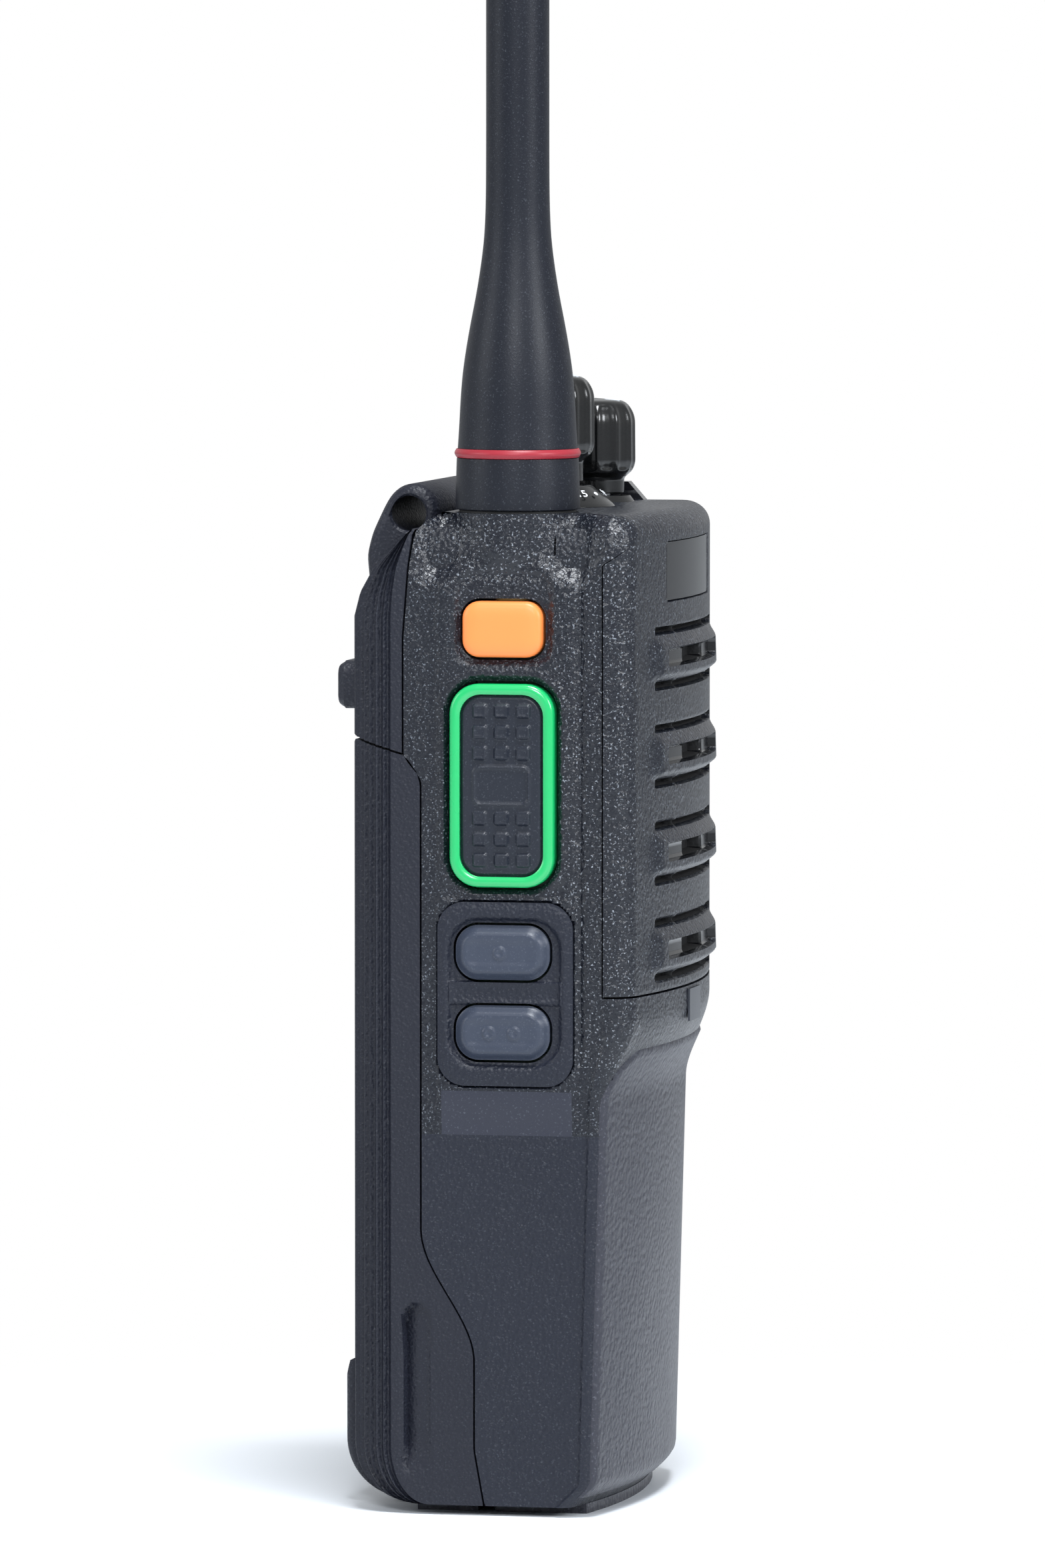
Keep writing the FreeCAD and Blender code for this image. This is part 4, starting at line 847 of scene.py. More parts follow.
@dataclass
class Housing:
    """The front housing: both sides, the lower front, the chin, the top and the floor."""

    casing: Casing
    talk: Outline = Outline(0.26, 94.5, 13.7, 26.2, 3.8)
    alert: Outline = Outline(0.26, 114.6, 10.5, 7.2, 2.2)
    upper_key: Outline = Outline(0.26, 72.95, 12.4, 7.1, 3.0)
    lower_key: Outline = Outline(0.26, 62.6, 12.4, 7.1, 3.0)
    alert_recess: Outline = Outline(0.1, 116.1, 13.3, 12.6, 2.6)
    talk_recess: Outline = Outline(0.15, 94.6, 15.2, 28.0, 4.6)
    key_pad: Outline = Outline(-0.14, 67.6, 17.86, 23.8, 3.6)
    port: Outline = Outline(0.9, 96.0, 14.0, 20.0, 0.6)
    port_window: Outline = Outline(-0.6, 96.0, 9.0, 16.2, 0.4)
    edge_y: float = -5.8
    edge_low: float = 58.0
    boss_low: float = 119.5
    plain_top: float = 49.2
    band_top: float = 54.8
    band_half: float = 8.6
    seam_column: float = 10.93
    rear_column: float = 9.0
    fore_column: float = -9.6
    grid_low: float = 49.0
    gap: float = 0.35
    boss_radius: float = 8.9
    boss_x: float = -18.0
    boss_y: float = 0.1

    def side_depth(self, y: np.ndarray, z: np.ndarray) -> np.ndarray:
        """How deep the talk button side lies below its highest plane.

        Args:
            y: Positions from front to back.
            z: Heights.

        Returns:
            Depths, positive inwards.
        """
        flank = self.casing.flank
        rear = ramp(y, 8.3, 9.3)
        fore = ramp(-y, 8.7, 9.6)
        depth = flank * np.maximum(rear, fore) * ramp(z, 46.0, 52.0)
        low_field = ramp(-z, -54.5, -49.5)
        depth = np.maximum(depth, flank * low_field)
        groove = np.exp(-((y + 9.9) / 0.5) ** 2) * ramp(z, 56, 62)
        depth = depth + 0.42 * groove
        alert = self.alert_recess.distance(y, z)
        depth = depth + 0.75 * ramp(-alert, -0.15, 1.0)
        talk = self.talk_recess.distance(y, z)
        depth = depth - 0.16 * np.exp(-((talk - 0.35) / 0.45) ** 2)
        depth = depth + 0.7 * ramp(-talk, -0.1, 0.55)
        saddle = ramp(z, 79.4, 80.4) * (1 - ramp(z, 81.2, 82.4))
        depth = depth + 0.3 * saddle * (1 - ramp(np.abs(y), 6.5, 9.0))
        pad = self.key_pad.distance(y, z)
        depth = depth + 0.65 * ramp(-pad, -0.05, 0.05)
        return depth

    def port_depth(self, y: np.ndarray, z: np.ndarray) -> np.ndarray:
        """How deep the accessory port side lies below its highest plane."""
        flank = self.casing.flank
        depth = flank * np.maximum(ramp(y, 8.6, 9.6), ramp(-y, 8.7, 9.6)) * ramp(z, 46.0, 52.0)
        depth = np.maximum(depth, flank * ramp(-z, -53.5, -49.5))
        port = self.port.distance(y, z)
        return depth + 2.4 * ramp(-port, -0.05, 0.2)

    def _side_columns(self, fine: float) -> np.ndarray:
        """Y of the side's grid columns where the side is at its plainest, from back to front."""
        rear, fore = self.rear_column, self.fore_column
        return np.concatenate([spread(self.seam_column, rear, 0.4)[:-1],
                               spread(rear, fore, fine)[:-1],
                               spread(fore, self.casing.panel_side, 0.35)])

    def _rows(self) -> np.ndarray:
        """Heights of the rows below the shoulder."""
        low, panel = self.grid_low, self.casing.panel_low
        return np.concatenate([spread(self.casing.base, 5.0, 0.5)[:-1],
                               spread(5.0, low, 1.1)[:-1], spread(low, panel, 0.36)[:-1],
                               spread(panel, 119.0, 0.36)])

    def build(self) -> None:
        """Make the housing as one closed wall with its windows cut through."""
        casing = self.casing
        left_y = self._side_columns(0.36)
        right_y = self._side_columns(0.55)[::-1]
        corner_shares = np.linspace(0, 1, 9)
        front_shares = np.linspace(-1, 1, 37)
        rows = self._rows()
        kinds = (["left"] * len(left_y) + ["left_corner"] * (len(corner_shares) - 1)
                 + ["front"] * (len(front_shares) - 2)
                 + ["right_corner"] * (len(corner_shares) - 1) + ["right"] * len(right_y))
        values = np.concatenate([left_y, corner_shares[1:], front_shares[1:-1],
                                 corner_shares[::-1][:-1], right_y])
        lift = {"left": 1.0, "right": 1.0, "front": 0.0}
        blend = np.array([lift.get(kind, 1.0 - value) for kind, value in zip(kinds, values)])
        shoulder = (casing.front_round_height
                    + (casing.side_round_height - casing.front_round_height) * blend)
        approach = np.linspace(0, 1, 12)[1:]
        rounding = np.linspace(0, 1, 13)[1:]
        total_rows = len(rows) + len(approach) + len(rounding)
        count = len(kinds)
        outer = np.zeros((total_rows, count, 3))
        inner = np.zeros((total_rows, count, 3))
        for row in range(total_rows):
            for column, (kind, value) in enumerate(zip(kinds, values)):
                height, inset = self._level(row, rows, approach, rounding, shoulder[column])
                outer[row, column] = self._spot(kind, value, height, inset, 0.0)
                inner[row, column] = self._spot(kind, value, height, inset, casing.wall)
                inner[row, column, 2] = min(max(height, casing.base + casing.wall),
                                            casing.top - casing.wall)
        keep = np.ones((total_rows - 1, count - 1), bool)
        self._open_front(keep, kinds, rows, len(approach))
        self._cut_side(outer, inner, keep, kinds, "left")
        self._cut_side(outer, inner, keep, kinds, "right")
        self._displace(outer, kinds)
        self._raise_boss(outer)
        outer, inner, keep = self._close_ends(outer, inner, keep)
        points, faces = skin(outer, inner, keep)
        finishes = [SPARK_ERODED, ETCHED, SATIN_BAND_PAINTED_REFLECTION, ERODED_EDGE_PAINTED_SPARKLE]
        chosen = [finishes.index(self._finish_at(kinds[column], outer[row, column]))
                  for row, column in np.argwhere(keep)]
        chosen += [0] * (len(faces) - len(chosen))
        finish_mesh("housing_shell", points, faces, finishes, Body.RADIO,
                    ["front_housing"], chosen)

    def _finish_at(self, kind: str, spot: np.ndarray) -> MouldedFinish:
        """The finish of the outer face at a point of this stretch."""
        y, z = spot[1], spot[2]
        # The band below the keys takes a lighter colour, a painted reflection of the floor
        if kind == "left" and abs(y) < self.band_half and self.plain_top < z < self.band_top:
            return SATIN_BAND_PAINTED_REFLECTION
        if kind != "front" and z < self.plain_top:
            return ETCHED
        # Front edges and the boss take the copy with brighter painted sparkle, where light falls
        edge = kind != "front" and y < self.edge_y and z > self.edge_low
        boss = kind == "left" and z > self.boss_low
        return ERODED_EDGE_PAINTED_SPARKLE if edge or boss else SPARK_ERODED

    def _level(self, row: int, rows: np.ndarray, approach: np.ndarray, rounding: np.ndarray,
               shoulder: float) -> tuple[float, float]:
        """Height and inset of one row at a column with this shoulder height.

        Args:
            row: Row number.
            rows: Heights of the straight rows.
            approach: Shares of the rows up to the shoulder.
            rounding: Shares of the rows over the shoulder.
            shoulder: Height of the shoulder's rounding.

        Returns:
            The height and how far the outline is drawn in.
        """
        casing = self.casing
        if row < len(rows):
            return float(rows[row]), 0.0
        row -= len(rows)
        start = casing.top - shoulder
        if row < len(approach):
            return float(rows[-1] + (start - rows[-1]) * approach[row]), 0.0
        angle = rounding[row - len(approach)] * math.pi / 2
        return (start + shoulder * math.sin(angle),
                casing.round_depth * (1 - math.cos(angle)))

    def _spot(self, kind: str, value: float, height: float, inset: float,
              depth: float) -> tuple[float, float, float]:
        """One point of the housing.

        Args:
            kind: The stretch of the plan that the point is on.
            value: Its Y or its share on that stretch.
            height: Its height.
            inset: How far the shoulder has drawn the outline in.
            depth: How far below the surface it lies.

        Returns:
            The point.
        """
        casing = self.casing
        path = casing.front_path(casing.apex(height), casing.corner(height), inset + depth, 0.0)
        upper = height >= casing.panel_low - 0.01
        edge = casing.panel_side if upper else path.corner_y + 0.02
        path.side_start = max(edge, path.corner_y)
        seam = casing.battery_seam(height)
        if kind in ("left", "right"):
            sign = -1 if kind == "left" else 1
            rear, low, seam_y = self.rear_column, self.fore_column, self.seam_column
            if value > rear and height > self.grid_low:
                y = rear + (value - rear) / (seam_y - rear) * (seam - rear)
            elif height > self.grid_low:
                reach = casing.panel_side - low
                y = value if value > low else low + (value - low) / reach * (edge - low)
            else:
                share = (seam_y - value) / (seam_y - casing.panel_side)
                y = seam + share * (edge - seam)
            return sign * (casing.half - inset - depth), y, height
        if kind.endswith("corner"):
            x, y, _, _ = path.corner_point(value)
            return -x if kind.startswith("right") else x, y, height
        x, y, _, _ = path.front_point(value)
        return x, y, height

    def _open_front(self, keep: np.ndarray, kinds: list[str], rows: np.ndarray,
                    approach: int) -> None:
        """Leave out the upper front, where the grille panel sits."""
        low = int(np.searchsorted(rows, self.casing.panel_low - 0.01))
        high = len(rows) + approach
        for column in range(len(kinds) - 1):
            if not {kinds[column], kinds[column + 1]} <= {"left", "right"}:
                keep[low:high - 1, column] = False

    def _cut_side(self, outer: np.ndarray, inner: np.ndarray, keep: np.ndarray,
                  kinds: list[str], side: str) -> None:
        """Cut the windows of one side through the wall."""
        columns = [index for index, kind in enumerate(kinds) if kind == side]
        start, end = columns[0], columns[-1] + 1
        across = outer[:, start:end, 1].copy()
        height = outer[:, start:end, 2].copy()
        part = keep[:, start:end - 1].copy()
        windows = [self.port_window]
        if side == "left":
            windows = [outline.grown(self.gap) for outline in
                       (self.talk, self.alert, self.upper_key, self.lower_key)]
        for outline in windows:
            across, height = cut_window(outline, across, height, part)
        keep[:, start:end - 1] = part
        moved = (across != outer[:, start:end, 1]) | (height != outer[:, start:end, 2])
        for target in (outer, inner):
            target[:, start:end, 1] = np.where(moved, across, target[:, start:end, 1])
            target[:, start:end, 2] = np.where(moved, height, target[:, start:end, 2])

    def _displace(self, outer: np.ndarray, kinds: list[str]) -> None:
        """Press the recesses of both sides into the outer sheet."""
        for column, kind in enumerate(kinds):
            y, z = outer[:, column, 1], outer[:, column, 2]
            quiet = 1 - ramp(z, self.casing.top - 4.5, self.casing.top - 1.0)
            if kind == "left":
                outer[:, column, 0] += self.side_depth(y, z) * quiet
            if kind == "right":
                outer[:, column, 0] -= self.port_depth(y, z) * quiet

    def _raise_boss(self, outer: np.ndarray) -> None:
        """Push the left shoulder out to the round wall below the antenna."""
        y = outer[:, :, 1] - self.boss_y
        z = outer[:, :, 2]
        near = (outer[:, :, 0] < -20) & (z > 117.5)
        moat = np.exp(-((np.abs(y) - 8.6) / 2.4) ** 2) * ramp(z, 119.5, 124.5)
        moat = moat + 0.75 * np.exp(-(y / 6.0) ** 2) * ramp(z, 120.5, 124.5)
        outer[:, :, 0] += np.where(near, 2.6 * moat, 0.0)
        span = np.sqrt(np.maximum(self.boss_radius ** 2 - y ** 2, 0.0))
        bowl = 3.1 * (1 - ramp(z, 118.6, 125.0)) ** 1.5
        wall_x = self.boss_x - span + 0.05 + bowl
        near = (np.abs(y) < self.boss_radius) & (outer[:, :, 0] < self.boss_x) & (z > 119.0)
        soft = 0.7
        blend = np.clip(0.5 + 0.5 * (outer[:, :, 0] - wall_x) / soft, 0, 1)
        union = (outer[:, :, 0] * (1 - blend) + wall_x * blend) - soft * blend * (1 - blend)
        outer[:, :, 0] = np.where(near, np.maximum(union, -self.casing.half + 0.05),
                                  outer[:, :, 0])

    def _close_ends(self, outer: np.ndarray, inner: np.ndarray,
                    keep: np.ndarray) -> tuple[np.ndarray, np.ndarray, np.ndarray]:
        """Add the floor below and the top above, as fans that end at the rear edge.

        Args:
            outer: The outer sheet.
            inner: The inner sheet.
            keep: Which cells exist.

        Returns:
            The longer sheets and their cells.
        """
        casing = self.casing
        steps = np.linspace(0, 1, 26)[1:]
        count = outer.shape[1]
        shares = np.linspace(-1, 1, count)

        def fan(row: np.ndarray, level: float, rear: float, reach: float) -> np.ndarray:
            goal = np.stack([shares * reach, np.full(count, rear), np.full(count, level)], 1)
            start = row.copy()
            start[:, 2] = level
            return np.stack([start + (goal - start) * step for step in steps])

        top_rear = casing.battery_seam(casing.top)
        top_reach = casing.half - casing.round_depth
        top_outer = fan(outer[-1], casing.top, top_rear, top_reach)
        top_inner = fan(inner[-1], casing.top - casing.wall, top_rear, top_reach - casing.wall)
        base_rear = casing.battery_seam(casing.base)
        base_outer = fan(outer[0], casing.base, base_rear, casing.half)[::-1]
        base_inner = fan(inner[0], casing.base + casing.wall, base_rear,
                         casing.half - casing.wall)[::-1]
        outer = np.concatenate([base_outer, outer, top_outer])
        inner = np.concatenate([base_inner, inner, top_inner])
        extra = np.ones((len(steps), count - 1), bool)
        return outer, inner, np.concatenate([extra, keep, extra])


@dataclass
class GrillePanel:
    """The speaker panel that wraps round both front corners, with its ribs and slots."""

    casing: Casing
    rib_low: float = 72.8
    rib_pitch: float = 12.6
    rib_count: int = 4
    rib_height: float = 6.3
    rib_half: float = 20.4
    rib_proud: float = 0.92
    slot_half: float = 18.0
    slot_rise: float = 3.55
    slot_height: float = 0.85
    window_half: float = 15.3
    window_height: float = 2.2
    seam: float = 0.25
    least_wall: float = 1.2
    plate: Outline = Outline(0.0, 121.65, 26.8, 7.7, 0.3)

    def relief(self, x: np.ndarray, z: np.ndarray) -> tuple[np.ndarray, np.ndarray]:
        """Height of the panel above its plain bowed face, and which finish it has.

        Args:
            x: Positions across.
            z: Heights.

        Returns:
            Relief, positive outwards, and finish numbers: 0 grain, 1 polished, 2 dark.
        """
        relief = np.zeros_like(x)
        kind = np.zeros(x.shape, int)
        for index in range(self.rib_count):
            centre = self.rib_low + index * self.rib_pitch
            offset = z - centre
            half = self.rib_height / 2
            crown = np.where(offset > 0, ramp(half - offset, 0.0, 2.0),
                             ramp(half + offset, 0.0, 1.1))
            lean = 1.0 - 0.1 * offset / half
            ends = ramp(self.rib_half - np.abs(x), 0.0, 3.6)
            rib = self.rib_proud * crown * ends * lean
            relief = relief + np.where(np.abs(offset) < self.rib_pitch / 2, rib, 0)
            for side in (-1, 1):
                slot = Outline(0.0, centre + side * self.slot_rise, 2 * self.slot_half,
                               self.slot_height, 0.3)
                away = slot.distance(x, z)
                gap = ramp(-away, -0.06, 0.16)
                divider = 1 - ramp(0.45 - np.abs(np.abs(x) - 9.8), 0, 0.25)
                relief = relief - 1.9 * gap * (0.3 + 0.7 * divider)
                kind = np.where((away < -0.1), 2, kind)
            window = Outline(0.0, centre, 2 * self.window_half, self.window_height, 0.35)
            away = window.distance(x, z)
            relief = relief - 1.0 * ramp(-away, -0.06, 0.2)
            kind = np.where(away < -0.12, 1, kind)
            opening = Outline(0.0, centre, 12.4, self.window_height - 0.5, 0.2)
            away = opening.distance(x, z)
            relief = relief - 2.2 * ramp(-away, -0.06, 0.2)
            kind = np.where(away < -0.05, 2, kind)
        away = self.plate.distance(x, z)
        relief = relief - 0.6 * ramp(-away, -0.05, 0.1)
        return relief, kind

    def build(self) -> None:
        """Make the panel as one closed wall."""
        casing = self.casing
        corner_shares = np.linspace(0, 1, 15)
        front_shares = np.linspace(-1, 1, 141)
        columns = ([("left", value) for value in corner_shares[:-1]]
                   + [("front", value) for value in front_shares]
                   + [("right", value) for value in corner_shares[::-1][1:]])
        rows = np.linspace(0, 1, 216)
        outer = np.zeros((len(rows), len(columns), 3))
        inner = np.zeros_like(outer)
        outward = np.zeros((len(rows), len(columns), 2))
        low = casing.panel_low + self.seam
        for column, (kind, value) in enumerate(columns):
            side_share = 0.0 if kind == "front" else 1.0 - value
            shoulder = (casing.front_round_height + side_share
                        * (casing.side_round_height - casing.front_round_height))
            high = casing.top - shoulder
            for row, share in enumerate(rows):
                height = low + (high - low) * share
                for target, inset in ((outer, 0.0), (inner, casing.wall)):
                    path = casing.front_path(casing.apex(height), casing.front_corner, inset,
                                             casing.panel_side - self.seam)
                    if kind == "front":
                        x, y, out_x, out_y = path.front_point(value)
                    else:
                        x, y, out_x, out_y = path.corner_point(value)
                        if kind == "right":
                            x, out_x = -x, -out_x
                    target[row, column] = (x, y, height)
                    if inset == 0.0:
                        outward[row, column] = (out_x, out_y)
        relief, kind = self.relief(outer[:, :, 0], outer[:, :, 2])
        edge = np.minimum(outer[:, :, 2] - low, 0.3) / 0.3
        relief = relief - 0.12 * (1 - edge)
        outer[:, :, :2] += outward * relief[:, :, None]
        inner[:, :, :2] += outward * np.minimum(relief + self.least_wall, 0)[:, :, None]
        keep = np.ones((len(rows) - 1, len(columns) - 1), bool)
        points, faces = skin(outer, inner, keep)
        middle = np.maximum(kind[:-1, :-1], kind[1:, 1:])
        # Grained faces round the corners take the copy with brighter painted sparkle, where lit
        corners = np.array([kind != "front" for kind, _ in columns[:-1]])
        middle = np.where((middle == 0) & corners[None, :], 3, middle)
        chosen = [int(index) for index in middle.ravel()]
        chosen += [0] * (len(faces) - len(chosen))
        finish_mesh("speaker_panel", points, faces,
                    [SPARK_ERODED, POLISHED, GRILLE_CLOTH, ERODED_EDGE_PAINTED_SPARKLE],
                    Body.RADIO, ["grille_panel"], chosen)


@dataclass
class GripPatch:
    """The soft skin on the lower front, with its leather grain."""

    casing: Casing
    top: float = 60.2
    bottom: float = 2.6
    below: float = 60.0
    width: float = 53.4
    round_corner: float = 8.0
    thick: float = 0.38

    def build(self) -> None:
        """Make the skin as a thin closed sheet that follows the front."""
        casing = self.casing
        rows = spread(self.bottom, self.top, 0.6)
        shares = np.linspace(-1, 1, 81)
        outer = np.zeros((len(rows), len(shares) + 8, 3))
        inner = np.zeros_like(outer)
        corner = np.linspace(0.45, 1, 5)[:-1]
        columns = ([("left", value) for value in corner] + [("front", value) for value in shares]
                   + [("right", value) for value in corner[::-1]])
        for row, height in enumerate(rows):
            for target, lift in ((outer, self.thick), (inner, -0.05)):
                path = casing.front_path(casing.apex(height), casing.corner(height), -lift, 0.0)
                path.side_start = path.corner_y
                for column, (kind, value) in enumerate(columns):
                    if kind == "front":
                        x, y, _, _ = path.front_point(value)
                    else:
                        x, y, _, _ = path.corner_point(value)
                        x = -x if kind == "right" else x
                    target[row, column] = (x, y, height)
        limit = Outline(0, (self.top - self.below) / 2, self.width, self.top + self.below,
                        self.round_corner)
        away = limit.distance(outer[:, :, 0], outer[:, :, 2])
        keep = away[:-1, :-1] < 0.2
        sink = ramp(away, -0.6, 0.15)
        outer = outer * (1 - sink[:, :, None]) + inner * sink[:, :, None]
        points, faces = skin(outer, inner - np.array([0, -0.25, 0]), keep)
        finish_mesh("leather_grip", points, faces, [LEATHER_GRIP], Body.RADIO,
                    ["grip_panel"])


@dataclass
class RearShell:
    """The plan that the battery case and the rear cover share: side, round corner, back."""

    casing: Casing
    rib_pitch: float = 1.05
    rib_depth: float = 0.55

    def columns(self) -> list[tuple[str, float]]:
        """The grid columns from the left seam round the back to the right seam."""
        side = [("side", value) for value in np.linspace(0, 1, 28)[:-1]]
        corner = [("corner", value) for value in np.linspace(0, 1, 85)]
        back = [("back", value) for value in np.linspace(-1, 1, 31)]
        mirrored = [(f"right_{kind}", value) for kind, value in reversed(side + corner)]
        return side + corner + back[1:-1] + mirrored

    def point(self, column: tuple[str, float], front: float, half: float, back: float,
              depth: float) -> tuple[float, float, float]:
        """One point of the plan, with the rib's share of relief.

        Args:
            column: The stretch and the share along it.
            front: Y of the front edge.
            half: Half the width.
            back: Y of the back.
            depth: How far inside the surface.

        Returns:
            X, Y and the rib relief at that point.
        """
        kind, value = column
        sign = 1 if kind.startswith("right") else -1
        kind = kind.replace("right_", "")
        radius = min(self.casing.rear_corner, (back - front) * 0.9) - depth
        centre_x, centre_y = half - depth - radius, back - depth - radius
        if kind == "side":
            return sign * (half - depth), front + (centre_y - front) * value, 0.0
        if kind == "corner":
            angle = value * math.pi / 2
            run = value * math.pi / 2 * self.casing.rear_corner
            wave = 0.5 - 0.5 * math.cos(2 * math.pi * run / self.rib_pitch)
            relief = -self.rib_depth * (wave ** 0.6)
            return (sign * (centre_x + (radius + relief * (depth == 0)) * math.cos(angle)),
                    centre_y + (radius + relief * (depth == 0)) * math.sin(angle), relief)
        return value * centre_x, back - depth, 0.0


@dataclass
class BatteryCase:
    """The battery's outer case, seen at the back and at the sides behind the seam."""

    casing: Casing
    gap: float = 0.25
    round_radius: float = 7.5
    slot_low: float = 4.3
    slot_top: float = 27.2
    slot_front: float = 9.9
    slot_back: float = 13.4
    hinge_y: float = 20.2
    hinge_z: float = 99.3
    hinge_round: float = 0.8

    def top_height(self, y: float) -> float:
        """Height of the case's top edge at a depth, rounded about the hinge axis at the rear."""
        behind = y - self.hinge_y
        if behind > 0:
            return self.hinge_z + math.sqrt(max(self.hinge_round ** 2 - behind ** 2, 0.0))
        return float(np.interp(y, (11.18, 11.6, 12.6, 13.3, self.hinge_y),
                               (94.45, 96.1, 97.5, 98.2, self.hinge_z + self.hinge_round)))

    def back_at(self, height: float) -> float:
        """Y of the back at a height, with the rounded lower edge."""
        casing = self.casing
        start = casing.base + self.round_radius
        if height >= start:
            return casing.back
        drop = min(start - height, self.round_radius)
        return casing.back - self.round_radius + math.sqrt(self.round_radius ** 2 - drop ** 2)

    def depth(self, y: np.ndarray, z: np.ndarray) -> np.ndarray:
        """How deep the charging slot on each side lies."""
        body = Outline((self.slot_front + self.slot_back) / 2,
                       (self.slot_low + self.slot_top) / 2,
                       self.slot_back - self.slot_front, self.slot_top - self.slot_low, 1.6)
        inside = ramp(-body.distance(y, z), -0.05, 0.2)
        slope = np.clip((y - self.slot_front) / (self.slot_back - self.slot_front), 0, 1)
        fade = ramp(z, self.slot_low, self.slot_low + 5.0)
        line = np.exp(-((z - 4.0) / 0.16) ** 2) * ramp(13.4 - y, 0, 0.4)
        return inside * (0.35 + 1.2 * slope ** 2) * fade + 0.1 * line

    def build(self) -> None:
        """Make the case as one closed wall, open at the front."""
        casing = self.casing
        plan = RearShell(casing)
        columns = plan.columns()
        start = casing.base + self.round_radius
        angles = np.linspace(0, math.pi / 2, 15)
        curve = [start - self.round_radius * math.cos(angle) for angle in angles]
        rows = np.array(curve + list(spread(start, 29, 0.5))[1:] + list(spread(29, 94.3, 1.3))[1:])
        crown = np.linspace(0, 1, 9)[1:]
        total = len(rows) + len(crown)
        outer = np.zeros((total, len(columns), 3))
        inner = np.zeros_like(outer)
        side_half = casing.half - casing.flank
        for row in range(total):
            height = float(rows[min(row, len(rows) - 1)])
            back = self.back_at(height)
            front = casing.battery_seam(height) + self.gap
            for column, spot in enumerate(columns):
                for target, depth in ((outer, 0.0), (inner, casing.wall)):
                    x, y, _ = plan.point(spot, front, side_half, casing.back, depth)
                    y = front + (y - front) * (back - front) / (casing.back - front)
                    z = height
                    if row >= len(rows):
                        share = float(crown[row - len(rows)])
                        z = height + (self.top_height(y) - height) * share
                        y = max(y, float(np.interp(z, (94.3, 96.1, 97.5, 98.2),
                                                   (11.18, 11.6, 12.6, 13.3))))
                    target[row, column] = (x, y, z)
        sides = np.array([kind.endswith("side") for kind, _ in columns])
        depth = self.depth(outer[:, :, 1], outer[:, :, 2]) * sides[None, :]
        outer[:, :, 0] -= np.sign(outer[:, :, 0]) * depth
        outer, inner = self._close(outer, inner)
        keep = np.ones((outer.shape[0] - 1, outer.shape[1] - 1), bool)
        points, faces = skin(outer, inner, keep)
        finish_mesh("battery_shell", points, faces, [BATTERY_SHELL], Body.BATTERY,
                    ["battery_case"])

    def _close(self, outer: np.ndarray, inner: np.ndarray) -> tuple[np.ndarray, np.ndarray]:
        """Add the floor and the sloped top as fans that end at the front edge."""
        casing = self.casing
        count = outer.shape[1]
        steps = np.linspace(0, 1, 13)[1:] ** 1.8
        shares = np.linspace(-1, 1, count)
        half = casing.half - casing.flank

        def fan(row: np.ndarray, level: Callable[[float], float], front: float,
                reach: float) -> np.ndarray:
            goal = np.stack([shares * reach, np.full(count, front), np.zeros(count)], 1)
            sheets = []
            for step in steps:
                sheet = row + (goal - row) * step
                sheet[:, 2] = [level(y) for y in sheet[:, 1]]
                sheets.append(sheet)
            return np.stack(sheets)

        front = casing.battery_seam(casing.base) + self.gap
        floor = casing.base
        base_outer = fan(outer[0], lambda y: floor, front, half)[::-1]
        base_inner = fan(inner[0], lambda y: floor + casing.wall, front,
                         half - casing.wall)[::-1]
        top_outer = fan(outer[-1], self.top_height, 11.2, half)
        top_inner = fan(inner[-1], lambda y: self.top_height(y) - casing.wall, 11.2,
                        half - casing.wall)
        return (np.concatenate([base_outer, outer, top_outer]),
                np.concatenate([base_inner, inner, top_inner]))


